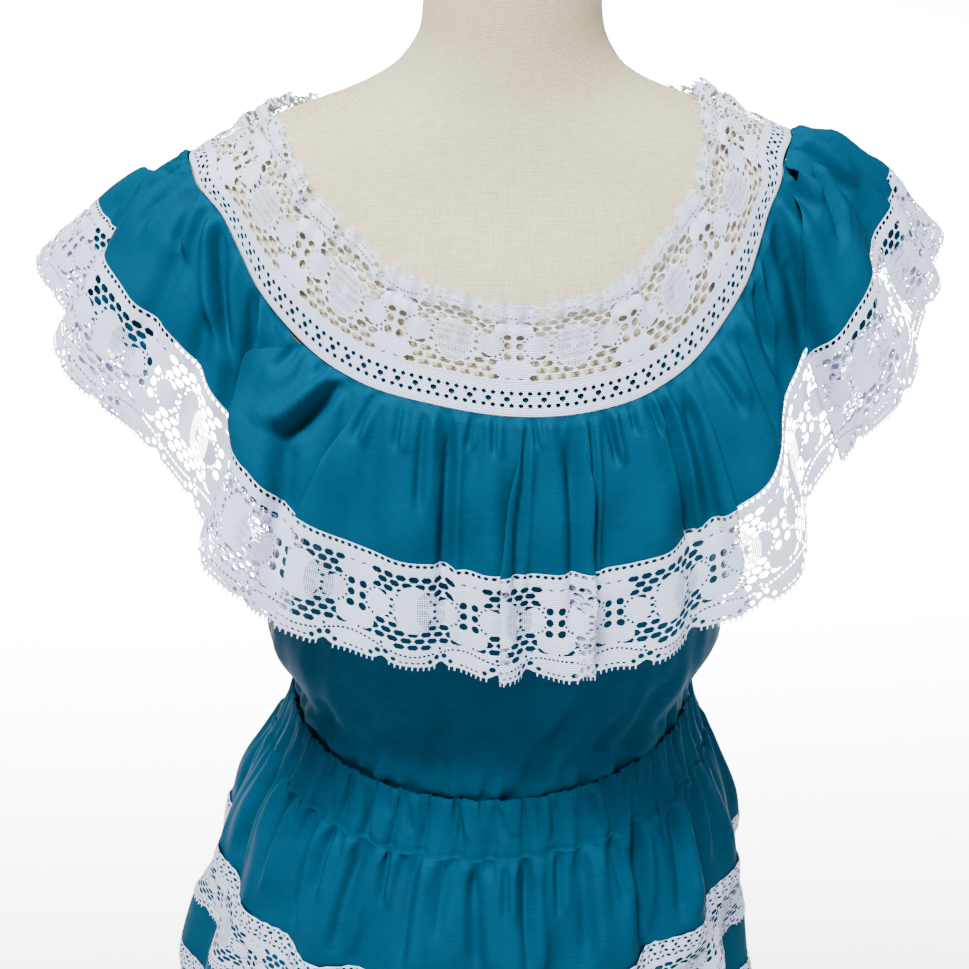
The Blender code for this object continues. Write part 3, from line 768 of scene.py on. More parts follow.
# The neckline by its angle from the front: where the ruffle's seam and the lace's inner
# edge cross the form, each as a turn round the form and a height.
NECKLINE = [
    (-180, -180, 1.372, -180, 1.430),
    (-160, -160, 1.378, -161, 1.432),
    (-135, -133, 1.396, -134, 1.438),
    (-110, -110, 1.416, -112, 1.444),
    (-90, -90, 1.424, -90, 1.4465),
    (-72, -70, 1.419, -68, 1.4465),
    (-62, -58, 1.405, -49, 1.439),
    (-52, -51, 1.372, -35.5, 1.426),
    (-42, -42, 1.349, -27.5, 1.412),
    (-30, -31, 1.335, -21, 1.397),
    (-15, -15, 1.327, -11, 1.387),
    (0, 0, 1.322, 0, 1.380),
    (15, 15, 1.322, 12, 1.383),
    (30, 29, 1.329, 20, 1.392),
    (42, 39.5, 1.345, 26, 1.408),
    (52, 47.5, 1.374, 31.5, 1.424),
    (62, 51.5, 1.407, 43, 1.439),
    (72, 60, 1.425, 58, 1.449),
    (90, 90, 1.432, 90, 1.4555),
    (110, 110, 1.422, 112, 1.4505),
    (135, 133, 1.398, 134, 1.441),
    (160, 160, 1.378, 161, 1.433),
    (180, 180, 1.372, 180, 1.430),
]


def neckline(angle, v):
    """The lace and band on the form: v is 0 at the ruffle's seam and 1 at the inner edge."""
    degrees = in_degrees(angle)
    turn_0 = through(NECKLINE, 1, degrees)
    turn_1 = through(NECKLINE, 3, degrees)
    z_0 = through(NECKLINE, 2, degrees)
    z_1 = through(NECKLINE, 4, degrees)
    return torso(np.radians(turn_0 + (turn_1 - turn_0) * v), z_0 + (z_1 - z_0) * v)


def bodice(angle, z):
    """The bodice's inner side."""
    half_width = through(TORSO, 1, z) + through(BODICE_EASE, 1, z)
    front = through(TORSO, 2, z) + through(BODICE_EASE, 2, z)
    back = through(TORSO, 3, z) + through(BODICE_EASE, 3, z)
    middle = BODICE_SHIFT * ease((1.20 - z) / 0.08)
    x, y = oval(angle, half_width, middle, front, back)
    return np.stack([x, y, z + 0 * x], axis=-1)


def bodice_half(middle):
    """Half of the bodice: u runs -1 to 1 across it, v runs 0 to 1 up to the underarm and 2 up
    to the neck seam, where the armholes have cut in."""
    def surface(u, v):
        above = np.maximum(v - 1, 0)
        angle = middle + u * (math.pi / 2 - ARMHOLE_REACH * ease(above))
        top = neckline(angle, 0.0)[..., 2] - BODICE_DROP
        z = BODICE_HEM + (UNDERARM - BODICE_HEM) * np.minimum(v, 1)
        return bodice(angle, z + (top - UNDERARM) * above)
    return surface


# The bodice's soft folds in front: angles, heights above its hem, half width, depth, ridge.
BODICE_CREASES = [
    (0, 20, 56, 128, 7.0, 4.6, 0.9),
    (18, 22, 100, 160, 7.0, 3.0, -0.7),
    (-31, -20, 56, 124, 7.0, 3.4, 0.8),
    (-22, -20, 60, 92, 4.0, 2.2, 0.7),
    (-47, -30, 92, 156, 9.0, 3.4, 0.8),
    (-66, -58, 66, 110, 6.0, 2.6, -0.7),
    (-46, -40, 60, 100, 5.0, 2.4, 0.7),
    (-10, -4, 58, 84, 4.0, 2.0, 0.7),
    (8, 12, 60, 104, 4.4, 2.4, 0.7),
    (24, 34, 62, 110, 6.0, 3.0, 0.8),
    (38, 50, 62, 130, 8.0, 3.6, 0.8),
    (60, 66, 64, 116, 6.0, 3.0, -0.7),
    (160, 176, 60, 150, 9.0, 3.4, 0.8),
    (-150, -168, 60, 140, 9.0, 3.2, 0.8),
    (-172, -178, 70, 170, 7.0, 2.0, 0.7),
    (130, 142, 62, 130, 8.0, 2.8, 0.7),
]


def blouse_out(angle, z):
    """Just above the casing the tucked cloth blouses out over the skirt's edge."""
    above = z - waist_height(angle) - 5 * MM
    full = 3.3 * MM - 1.7 * MM * np.sin(angle)
    return full * np.exp(-(above / (9 * MM)) ** 2)


def bodice_cloth(middle):
    """One of the bodice's two pieces, with its folds and the tuck at the casing."""
    flat = bodice_half(middle)

    def surface(u, v):
        point, normal = normals(flat, u, v)
        angle = np.arctan2(point[:, 0], -point[:, 1])
        up = point[:, 2] - BODICE_HEM
        relief = creased(angle, up, BODICE_CREASES, 0.13)
        relief = relief + blouse_out(angle, point[:, 2]) + slack(angle, up, 0.8 * MM)
        pinch = np.sin(angle * 41) * np.sin(angle * 17 + 1)
        tuck = 1.4 * MM * pinch * np.exp(-((up - TUCK_HEIGHT) / TUCK_REACH) ** 2)
        relief = np.maximum(relief, -3 * MM)
        return point + normal * (CLOTH_WALL + relief + tuck)[:, None]
    return surface


# Each half's cut: its length of cloth across and down.
BODICE_CUT = (0.52, 0.42)
for side, middle in (("front", 0.0), ("back", math.pi)):
    data = sheet_mesh("bodice", bodice_cloth(middle), (-1.0, 1.0), (0.0, 2.0), 260, 130,
                      unit=BODICE_CUT)
    piece = keep_data(face_outwards(data), f"bodice_{side}_cloth", poplin,
                      [f"bodice_{side}"])


# The ruffle is a long strip of poplin gathered into the neck seam under the lace band. It
# falls over the bust and stands out over the shoulders.

RUFFLE_DEPTH = 0.088
RUFFLE_BEND = 0.040
RUFFLE_STAND = 4.0 * MM
# The folds grow from nothing at the seam, at this rate for each depth of the ruffle, towards
# this multiple of their height.
FOLD_RISE = 1.8
FOLD_FULL = 1.2

# How far the ruffle leans out from hanging straight down: angle from the front, its lean in
# degrees at its seam and far down, and the share of its depth that is drawn up there.
RUFFLE_LEAN = [
    (-180, 34, 10, 0),
    (-150, 44, 14, 0),
    (-127, 52, 30, 0.08),
    (-110, 56, 45, 0.14),
    (-97, 64, 31, 0.28),
    (-79, 39, 30, 0.20),
    (-65, 38, 20, 0.18),
    (-55, 32, 22, 0.18),
    (-46, 26, 28, 0.14),
    (-36, 27, 20, 0.05),
    (-20, 34, 7, 0),
    (0, 30, 6, 0),
    (20, 34, 7, 0),
    (35, 42, 7, 0.03),
    (45, 40, 18, 0.06),
    (57, 32, 21, 0.10),
    (66, 42, 23, 0.16),
    (76, 58, 29, 0.17),
    (90, 70, 24, 0.20),
    (105, 68, 38, 0.22),
    (127, 54, 30, 0.08),
    (150, 44, 14, 0),
    (180, 34, 10, 0),
]

# The ruffle's folds at its hem: angle from the front and how far each ridge or trough
# stands out from the mean, in millimetres.
RUFFLE_FOLDS = [
    (-172, 7), (-165, -7), (-158, 8), (-151, -8), (-143, 10), (-135, -10), (-127, 10),
    (-119, -8), (-110, 12), (-95, -12), (-79, 12), (-65, 2), (-51, -12), (-44, 6),
    (-36, 5), (-27, -4), (-19, 4), (-10, -4), (-3, 5), (3, -4), (9, 4), (17, -4),
    (25, 4), (33, -6), (43, 8), (55, -13), (67, 8), (79, -5), (90, 12), (100, -10),
    (110, 11), (120, -10), (131, 10), (141, -9), (150, 8), (159, -7), (167, 7), (175, -6),
]


def ruffle(angle, s):
    """The flounce and its lace: s is the distance down the cloth from its seam."""
    seam, normal = normals(neckline, angle, 0 * angle)
    degrees = in_degrees(angle)
    at_seam = np.radians(through(RUFFLE_LEAN, 1, degrees))
    at_hem = np.radians(through(RUFFLE_LEAN, 2, degrees))
    s = s - through(RUFFLE_LEAN, 3, degrees) * np.clip(s, 0, RUFFLE_DEPTH)
    run = (np.abs(s) + MM / 1000) / RUFFLE_BEND
    lean = at_hem + (at_seam - at_hem) * (1 - np.exp(-run)) / run
    rise = FOLD_FULL * (1 - np.exp(-FOLD_RISE * s / RUFFLE_DEPTH))
    fold = folds_at(angle, RUFFLE_FOLDS) * rise
    across = s * np.sin(lean) + fold * np.cos(lean)
    down = s * np.cos(lean) - fold * np.sin(lean)
    out = np.stack([np.sin(angle), -np.cos(angle), 0 * angle], axis=-1)
    start = seam + normal * RUFFLE_STAND
    return start + out * across[..., None] - np.array([0, 0, 1]) * down[..., None]


# Its creases: angles at their start and end, distances down, half width, depth, ridge.
RUFFLE_CREASES = [
    (-118, -120, 2, 120, 5.0, 6.0, 0.7),
    (-103, -101, 2, 100, 4.5, 6.0, 0.7),
    (-91, -89, 0, 70, 4.0, 6.0, 0.7),
    (-84, -85, 6, 50, 4.0, 4.0, -0.6),
    (-77, -76, 2, 60, 4.0, 3.5, 0.5),
    (-70, -67, 0, 44, 3.6, 6.5, 0.8),
    (-66, -67, 28, 120, 6.0, 4.0, -0.5),
    (-62, -55, 0, 62, 4.6, 9.0, -0.8),
    (-59, -58, 50, 140, 5.0, 6.0, 0.6),
    (-53, -50, 0, 96, 4.6, 10.0, 0.8),
    (-43, -45, 0, 30, 3.0, 4.0, 0.6),
    (-32, -42, 0, 62, 4.6, 11.0, -0.9),
    (-40, -37, 44, 140, 6.0, 8.0, -0.4),
    (-26, -29, 0, 34, 3.0, 4.0, 0.7),
    (-21, -21, 0, 32, 2.6, 3.4, 0.6),
    (-17, -16.5, 0, 66, 3.0, 4.0, 0.6),
    (-12, -12.5, 0, 140, 3.6, 6.5, 0.5),
    (-8, -9, 0, 22, 2.2, 3.0, 0.6),
    (-4, -4, 0, 24, 2.0, 3.0, 0.6),
    (2, -1, 0, 116, 2.6, 4.5, 0.3),
    (3.5, 4, 0, 18, 1.8, 2.6, 0.6),
    (10.5, 9, 0, 150, 5.4, 9.5, 0.35),
    (14.5, 12.5, 0, 100, 2.0, 4.0, 0.5),
    (18, 19, 0, 34, 2.4, 4.6, 0.6),
    (23, 23, 0, 18, 1.8, 2.6, 0.6),
    (27, 28, 0, 26, 2.0, 3.6, 0.6),
    (30, 33, 0, 110, 3.0, 6.5, 0.6),
    (34.5, 37, 4, 120, 3.2, 5.6, 0.6),
    (41, 43, 0, 50, 3.0, 5.0, 0.6),
    (47, 49, 4, 90, 4.0, 5.0, 0.6),
    (53, 54, 0, 60, 4.0, 5.0, 0.6),
    (62, 59, 0, 150, 5.0, 10.0, 0.8),
    (68, 68, 0, 30, 4.0, 6.0, 0.7),
    (74, 69, 16, 60, 5.0, 6.0, 0.7),
    (80, 82, 0, 60, 4.0, 5.0, 0.7),
    (88, 90, 10, 110, 5.0, 5.0, 0.6),
    (98, 100, 2, 110, 5.0, 7.0, 0.7),
    (112, 110, 0, 80, 4.0, 6.0, 0.7),
    (128, 131, 2, 130, 5.0, 7.0, 0.7),
    (146, 144, 0, 90, 3.5, 6.0, 0.7),
    (158, 160, 2, 120, 4.0, 6.5, 0.6),
    (171, 170, 0, 90, 3.0, 5.0, 0.7),
    (-176, -177, 2, 130, 4.0, 6.0, 0.6),
    (-163, -160, 0, 90, 4.0, 6.0, 0.7),
    (-149, -150, 2, 120, 4.5, 7.0, 0.6),
    (-134, -132, 0, 80, 4.0, 6.0, 0.7),
]


# The depth of the lace from its heading to the tips of its picots.
LACE_DEPTH = 0.066

# Where the ruffle laps over itself: the fold's middle at the seam and at the hem and its
# half width, as degrees of its cloth; how far it laps, in degrees, below 0 where the layer
# of lesser angle lies on top; the distance down where it starts, the gap between its
# layers, and how much lower the cloth turned under hangs, in millimetres.
RUFFLE_LAPS = [
    (-80, -88, 8.0, 31.0, 0, 6.0, 30.0),
    (-43, -44, 3.4, 9.5, -12, 5.0, 10.0),
    (-29, -34, 1.7, 3.0, 6, 4.0, 2.0),
    (1.0, -2.0, 1.0, 1.8, 0, 2.4, 0.0),
    (13, 11, 1.3, -2.6, 6, 3.2, 0.0),
    (36, 38, 1.2, -2.2, -4, 3.0, 0.0),
    (75, 70, 4.0, 14.0, -20, 10.0, 20.0),
    (98, 98, 5.0, -19.0, -6, 7.0, 24.0),
    (135, 135, 2.4, -5.0, 8, 4.0, 5.0),
    (-130, -130, 2.4, 5.0, 8, 4.0, 5.0),
    (-152, -152, 1.6, 3.2, 8, 4.0, 3.0),
    (156, 156, 1.6, -3.2, 8, 4.0, 3.0),
    (174, 174, 1.2, -2.2, 8, 3.0, 0.0),
]


def lapped(angle, s):
    """Lays the laps: returns where on the ruffle a spot of its cloth comes to lie, and how
    far it stands out there as the upper layer or in as the under one."""
    degrees = in_degrees(angle)
    moved = np.zeros(np.shape(angle))
    layer = np.zeros(np.shape(angle))
    lower = np.zeros(np.shape(angle))
    for seam, hem, width, lap, start, gap, drop in RUFFLE_LAPS:
        open_up = ease((s / MM - start) / 46)
        x = (degrees - seam - (hem - seam) * np.minimum(s / RUFFLE_DEPTH, 1)) / width
        moved -= math.radians(abs(lap)) * x * np.exp(0.5 - x * x / 2) * open_up
        x = x * math.copysign(1, lap)
        near = np.exp(-(x / 2.6) ** 4)
        layer += gap * MM * np.tanh(1.6 * x) * near * open_up
        lower += drop * MM * np.exp(-((x + 0.35) / 0.8) ** 4) * open_up
    # The lace below the cloth turned under is crushed up, and ends where the rest does.
    crushed = np.clip(1 - (s - RUFFLE_DEPTH) / LACE_DEPTH, 0.15, 1)
    return angle + moved, s + lower * crushed, layer


def ruffle_relief(angle, s):
    """Gathers of two sizes, the dip into the seam, loose waves and the creases."""
    fine = short_gathers(angle, s, 118, 1.9 * MM, 41, 0.011)
    mid = short_gathers(angle, s, 62, 2.2 * MM, 42, 0.026)
    tuck_in = -2.4 * MM * (1 - ease(s / (6 * MM)))
    loose = slack(angle, s, 1.3 * MM) * ease(s / (30 * MM))
    return fine + mid + tuck_in + loose + creased(angle, s, RUFFLE_CREASES, 0.20)


def kept_off_form(angle, s, relief):
    """Near the seam the form lies close behind the ruffle, most of all at the shoulders, so
    troughs and layers turned under can only be shallow there."""
    degrees = np.abs(in_degrees(angle))
    on_form = np.exp(-((degrees - 86) / 26) ** 4)
    lowest = (0.7 * on_form - 1.6) * MM + (0.17 * on_form - 0.24) * s
    lowest -= 0.5 * on_form * np.maximum(s - 30 * MM, 0)
    return lowest + MM * np.logaddexp(0, (relief - lowest) / MM)


def ruffle_cloth(angle, s):
    """The ruffle's cloth and the lace below it, laps, gathers, creases and all."""
    angle, s, layer = lapped(angle, s)
    relief = kept_off_form(angle, s, ruffle_relief(angle, s) + layer)
    return raised(ruffle, CLOTH_WALL + relief, angle, s)


RUFFLE_CUT = 2.85
cloth_piece("ruffle", ruffle_cloth, (0.0, RUFFLE_DEPTH), 1300, 56, RUFFLE_CUT)


# The lace is a white cotton galloon, machine-made in 66 mm repeats: flowers with petals in
# cloth stitch and woven discs on a hexagonal net, a plain heading and a scalloped edge with
# picots. Here one repeat is drawn flat, holes and all, and the edgings below are laid from
# copies of it.

# These are millimetres. A repeat runs from the middle of one flower to the next, with a disc
# between them. DISC_SIZE is half the disc's width and height, VALLEY is where the edge has
# its notches, LOBE is the depth of its lobes, and INSIDE keeps the net off a repeat's ends.
LACE_REPEAT = 66.0
HALF_REPEAT = LACE_REPEAT / 2
INSIDE = HALF_REPEAT - 0.4
CORD = 0.5
LACE_MIDDLE = 28.0
DISC_SIZE = (9.4, 13.4)
VALLEY = 16.5
LOBE = 62.4
PICOTS = 21
HEADING_HOLES = 16
BORDER_HOLES = 26
# A flower's petals from its middle, with half their width and height, millimetres.
PETALS = [
    (12.6, 0.4, 6.0, 6.6), (-12.6, 0.4, 6.0, 6.6), (4.6, -13.4, 5.2, 4.8), (-4.6, -13.4, 5.2, 4.8),
    (4.6, 13.4, 5.6, 5.0), (-4.6, 13.4, 5.6, 5.0),
]
# The flower's six holes: place from its middle, half sizes, turn in degrees.
FLOWER_HOLES = [
    (3.5, 7.0, 2.5, 2.3, 15), (-3.5, 7.0, 2.5, 2.3, -15), (3.3, 0.4, 2.2, 2.4, 0),
    (-3.3, 0.4, 2.2, 2.4, 0), (3.4, -6.2, 2.3, 2.4, -15), (-3.4, -6.2, 2.3, 2.4, 15),
]
# The holes over each notch of the edge: place from the notch, distance up, half size.
NOTCH_HOLES = [(-6.6, 2.9, 1.5), (-2.6, 4.2, 1.75), (2.0, 4.5, 1.75), (6.2, 3.2, 1.5),
               (-0.6, 8.3, 0.9)]
NET_PITCH = LACE_REPEAT / 9
NET_ROW = 4.05
NET_START = 9.8
NET_ROWS = 13
# One mesh of the net, as a flattened hexagon's corners.
NET_MESH = [(3.3, 0.0), (1.8, 1.72), (-1.8, 1.72), (-3.3, 0.0), (-1.8, -1.72), (1.8, -1.72)]


def lace_edge(u):
    """How deep the lace is at u: shallow lobes with a notch between them."""
    return LOBE - 3.2 * np.exp(-((np.abs(u) - VALLEY) / 3.2) ** 2)


def spaced(count):
    """Evenly spaced places along one repeat."""
    return [-HALF_REPEAT + LACE_REPEAT * (i + 0.5) / count for i in range(count)]


def oval_points(u, w, half_u, half_w, turn=0.0, sides=8):
    """The corners of a small oval hole."""
    turn = math.radians(turn)
    points = []
    for i in range(sides):
        a = math.tau * (i + 0.5) / sides
        x, y = half_u * math.cos(a), half_w * math.sin(a)
        points.append((u + x * math.cos(turn) - y * math.sin(turn),
                       w + x * math.sin(turn) + y * math.cos(turn)))
    return points


def gap_between(one, other):
    """The least distance between two small polygons, 0 where they overlap."""
    least = 1e9
    for a, b in ((one, other), (other, one)):
        a, start = np.array(a)[:, None], np.array(b)[None]
        run = np.roll(start, -1, axis=1) - start
        t = np.clip(((a - start) * run).sum(2) / (run ** 2).sum(2), 0, 1)
        least = min(least, np.linalg.norm(start + run * t[..., None] - a, axis=2).min())
        cross = run[..., 0] * (a - start)[..., 1] - run[..., 1] * (a - start)[..., 0]
        if ((cross > 0).all(axis=1) | (cross < 0).all(axis=1)).any():
            return 0.0
    return least


def pushed_clear(shape, motifs, gap):
    """Moves the corners that fall on a motif out to its edge, so that meshes end there."""
    shape = np.array(shape, float)
    for u, w, half_u, half_w in motifs:
        away = (shape - (u, w)) / (half_u + gap, half_w + gap)
        far = np.linalg.norm(away, axis=1)
        inside = far < 1
        shape[inside] = (u, w) + away[inside] / far[inside, None] * (half_u + gap, half_w + gap)
    return shape


def area_of(shape):
    """A polygon's area."""
    x, y = shape[:, 0], shape[:, 1]
    return abs(np.sum(x * np.roll(y, -1) - y * np.roll(x, -1))) / 2


def lace_holes(top):
    """Every hole of one repeat below top, the ones that matter most first."""
    holes = []
    motifs = [(0.0, LACE_MIDDLE, *DISC_SIZE)]
    for side in (-1, 1):
        for x, y, a, b in PETALS:
            if abs(side * HALF_REPEAT + x) < HALF_REPEAT + 1:
                motifs.append((side * HALF_REPEAT + x, LACE_MIDDLE + y, a, b))
    solid = [oval_points(u, w, a, b, sides=16) for u, w, a, b in motifs]

    def offer(polygon, cord=CORD, sizes=(1.0, 0.85, 0.7, 0.5), from_solid=0.35):
        """Adds a hole at the first size that leaves a cord between it and the rest."""
        shape = np.array(polygon)
        middle = shape.mean(axis=0)
        for size in sizes:
            smaller = middle + (shape - middle) * size
            if np.abs(smaller[:, 0]).max() > INSIDE or smaller[:, 1].min() < top + 0.5:
                continue
            if all(gap_between(smaller, s) > from_solid for s in solid) and all(
                    gap_between(smaller, h) > cord for h in holes
                    if np.abs(np.mean(h, axis=0) - middle).max() < 9):
                holes.append([tuple(p) for p in smaller])
                return

    for side in (-1, 1):
        for x, y, a, b, turn in FLOWER_HOLES:
            if x * side < 0:
                holes.append(oval_points(side * HALF_REPEAT + x, LACE_MIDDLE + y, a, b, turn))
        for x, up, half in NOTCH_HOLES:
            u = side * VALLEY + x
            offer(oval_points(u, lace_edge(u) - up, half, half), 0.6)
    for u in spaced(PICOTS):
        offer(oval_points(u, lace_edge(u) - 2.3, 1.05, 0.65, sides=6), 0.5, (1.0,))
    for u in spaced(HEADING_HOLES):
        offer(oval_points(u, 1.8, 1.5, 1.05, sides=6), 0.5, (1.0,))
    # The spider's legs between each disc and the petals beside it.
    for side in (-1, 1):
        for up in (-4.0, 0.0, 4.0):
            leg = oval_points(side * 12.3, LACE_MIDDLE + up, 1.5, 1.0, sides=6)
            offer(leg, 0.4, (1.0, 0.7), 0.2)
    for row in range(NET_ROWS):
        w = NET_START + NET_ROW * row
        for i in range(-5, 6):
            u = NET_PITCH * (i + 0.5 * (row % 2))
            if w > 50.0 + 4.5 * math.cos(math.tau * u / LACE_REPEAT):
                continue
            mesh = np.array([(u + x, w + y) for x, y in NET_MESH])
            whole = area_of(mesh)
            mesh[:, 0] = np.clip(mesh[:, 0], -INSIDE, INSIDE)
            mesh = pushed_clear(mesh, motifs, 0.75)
            if area_of(mesh) > 0.22 * whole:
                offer(mesh)
    # Small holes pick out the motifs' outlines.
    for u_0, w_0, half_u, half_w in motifs:
        count = round(math.pi * (half_u + half_w) / 2.5)
        for i in range(count):
            turn = math.tau * i / count
            u = u_0 + (half_u + 1.25) * math.cos(turn)
            w = w_0 + (half_w + 1.25) * math.sin(turn)
            if w > 9:
                dot = oval_points(u, w, 0.75, 0.9, math.degrees(turn) + 90, 6)
                offer(dot, 0.45, (1.0, 0.8), 0.25)
    # A row of holes follows the net's wavy end.
    for u in spaced(BORDER_HOLES):
        w = 53.4 + 2.6 * math.cos(math.tau * u / LACE_REPEAT)
        offer(oval_points(u, w, 0.95, 0.7, sides=6), 0.5, (1.0, 0.75))
    return holes


def lace_relief(u, w):
    """How far the lace's motifs stand up from its net, in millimetres."""
    high = 0.4 * np.exp(-((lace_edge(u) - 6.3 - w) / 2.0) ** 2)
    high = np.maximum(high, 0.3 * np.exp(-((w - 5.2) / 1.8) ** 2))
    for side in (-1, 1):
        for x, y, a, b in PETALS:
            away = ((u - side * HALF_REPEAT - x) / a) ** 2 + ((w - LACE_MIDDLE - y) / b) ** 2
            high = np.maximum(high, 0.55 * (1 - away))
    away = (u / DISC_SIZE[0]) ** 2 + ((w - LACE_MIDDLE) / DISC_SIZE[1]) ** 2
    return np.maximum(high, 0.3 * np.exp(-((away - 0.9) / 0.15) ** 2))


def flat_tile(holes, border, loose):
    """Cuts one flat repeat: the border's polygon without the holes, its faces meeting at
    the loose points too. Returns its points and triangles."""
    points = [Vector(p) for p in border]
    faces = [list(range(len(points)))]
    for hole in holes:
        faces.append(list(range(len(points), len(points) + len(hole))))
        points += [Vector(p) for p in hole]
    corners = np.array([p for hole in holes for p in hole])
    for spot in loose:
        if np.linalg.norm(corners - spot, axis=1).min() > 0.8:
            points.append(Vector(spot))
    made, _, cut, _, _, owners = delaunay_2d_cdt(points, [], faces, 0, 1e-5)
    kept = [face for face, owner in zip(cut, owners) if list(owner) == [0]]
    return np.array([tuple(p) for p in made]), np.array(kept)


def galloon_tile(top=0.0):
    """One repeat of the lace, flat, from the middle of one flower to the next, without what
    lies above top."""
    end = lace_edge(HALF_REPEAT)
    right = [(HALF_REPEAT, top + 2.6 * i) for i in range(24) if top + 2.6 * i < end - 1.5]
    edge = [(HALF_REPEAT, end)]
    # Picots stand on the edge, 2.4 mm long and 3.1 mm apart, with none in the notches.
    for u in reversed(spaced(PICOTS)):
        if abs(abs(u) - VALLEY) > 3.4:
            edge += [(u + 0.55, lace_edge(u + 0.55)), (u + 0.10, lace_edge(u) + 2.4),
                     (u - 0.45, lace_edge(u) + 2.3), (u - 0.50, lace_edge(u - 0.50))]
        else:
            edge += [(u + 0.8, lace_edge(u + 0.8)), (u - 0.8, lace_edge(u - 0.8))]
    edge.append((-HALF_REPEAT, end))
    left = [(-u, w) for u, w in reversed(right)]
    bottom = [(-HALF_REPEAT + LACE_REPEAT * i / 20, top) for i in range(1, 20)]
    # Loose points 2.4 mm apart keep its triangles small enough to follow the folds.
    loose = []
    for i in range(-13, 14):
        for j in range(1, 26):
            u, w = 2.4 * (i + 0.5 * (j % 2)), 2.4 * j
            if abs(u) < 31.8 and top + 1.2 < w < lace_edge(u) - 1.2:
                loose.append((u, w))
    points, faces = flat_tile(lace_holes(top), right + edge + left + bottom, loose)
    return points, faces, lace_relief(points[:, 0], points[:, 1])


GALLOON = galloon_tile()


def repeats_and_angles(surface, at, low, high, count):
    """Turns repeats into angles, with equal lengths of cloth to each repeat."""
    fine = np.linspace(low, high, 1441)
    line = surface(fine, np.full(fine.shape, at))
    run = np.concatenate([[0], np.cumsum(np.linalg.norm(np.diff(line, axis=0), axis=1))])
    return run / run[-1] * count, fine


def edging(name, tile, repeat, counts, surface, middle, place, replaced, start=0.0, aside=0.0):
    """Lays repeats of a flat tile all round a surface: counts are those in front and behind,
    paced out evenly at middle. place turns the tile's depth in millimetres into the surface's
    own measure, replaced names the solid, start is where in a repeat the lace begins at the
    side, and aside moves the threads' coordinates clear of the woven discs."""
    points, faces, high = tile
    front, back = counts
    marks = []
    for low, top, count in ((-math.pi / 2, math.pi / 2, front),
                            (math.pi / 2, math.pi * 3 / 2, back)):
        marks.append(repeats_and_angles(surface, middle, low, top, count))
    steps = np.concatenate([marks[0][0], marks[1][0][1:] + front])
    turns = np.concatenate([marks[0][1], marks[1][1][1:]])
    total = front + back
    copies = np.arange(total)
    u = (copies[:, None] + points[None, :, 0] / repeat + start).ravel()
    w = np.tile(points[:, 1], total)
    up = np.tile(high, total) * MM
    angle = np.interp(np.mod(u, total), steps, turns)
    spots = raised(surface, up, angle, place(w))
    size = len(points)
    triangles = (faces[None] + copies[:, None, None] * size).reshape(-1, 3)
    data = bpy.data.meshes.new(name)
    data.from_pydata(spots, [], triangles)
    corners = triangles.ravel()
    uv = data.uv_layers.new(name="cloth")
    flat = np.stack([u * repeat * MM, (w + aside) * MM], axis=-1)
    uv.data.foreach_set("uv", flat[corners].ravel())
    mesh = bmesh.new()
    mesh.from_mesh(data)
    rim = {v for e in mesh.edges if e.is_boundary for v in e.verts}
    bmesh.ops.remove_doubles(mesh, verts=list(rim), dist=MM / 20)
    mesh.to_mesh(data)
    mesh.free()
    return keep_data(face_outwards(data), name, lace, halves(replaced))


# Bleached cotton lace: matt, slightly blue-white, ribbed along the galloon by its threads.
# In the discs the threads cross in an open grid, 1.25 mm apart, which lets light through.
lace, tree, shader = new_material("cotton_lace")
thread = add(tree, "UVMap", {})
LACE_THREAD = 1.0 * MM
GRID = 1.25 * MM
ribs = add(tree, "TexWave", {"Vector": thread.outputs["UV"], "Scale": WAVE_BAND / LACE_THREAD,
                             "Distortion": 1.2, "Detail": 1.0}, bands_direction="Y")
place = add(tree, "SeparateXYZ", {0: thread.outputs["UV"]})
# How far a spot lies from its disc's middle, squared, is 1 where the grid ends just inside the
# disc's edge. Each cell of the grid is a thread and the opening beside it.
wrapped = add(tree, "Math", {0: place.outputs["X"], 1: HALF_REPEAT * MM, 2: -HALF_REPEAT * MM},
              operation="WRAP")
from_middle = add(tree, "Math", {0: place.outputs["Y"], 1: LACE_MIDDLE * MM},
                  operation="SUBTRACT")
squares = []
cells = []
for spot, half_size, way in ((wrapped, DISC_SIZE[0], "X"), (from_middle, DISC_SIZE[1], "Y")):
    share = add(tree, "Math", {0: spot.outputs[0], 1: half_size * MM * 0.97}, operation="DIVIDE")
    squares.append(add(tree, "Math", {0: share.outputs[0], 1: share.outputs[0]},
                       operation="MULTIPLY"))
    count = add(tree, "Math", {0: place.outputs[way], 1: GRID}, operation="DIVIDE")
    cell = add(tree, "Math", {0: count.outputs[0], 1: 0.5}, operation="PINGPONG")
    cells.append(add(tree, "Math", {0: cell.outputs[0], 1: 0.24}, operation="GREATER_THAN"))
radial = add(tree, "Math", {0: squares[0].outputs[0], 1: squares[1].outputs[0]},
             operation="ADD")
# Between the threads it is open, but not outside the disc nor on the knot at its middle.
between = add(tree, "Math", {0: cells[0].outputs[0], 1: cells[1].outputs[0]},
              operation="MULTIPLY")
in_disc = add(tree, "Math", {0: radial.outputs[0], 1: 1.0}, operation="LESS_THAN")
off_knot = add(tree, "Math", {0: radial.outputs[0], 1: 0.05}, operation="LESS_THAN")
off_knot = add(tree, "Math", {0: 1.0, 1: off_knot.outputs[0]}, operation="SUBTRACT")
hole = add(tree, "Math", {0: between.outputs[0], 1: in_disc.outputs[0]}, operation="MULTIPLY")
hole = add(tree, "Math", {0: hole.outputs[0], 1: off_knot.outputs[0]}, operation="MULTIPLY")
cover = add(tree, "Math", {0: 1.0, 1: hole.outputs[0]}, operation="SUBTRACT")
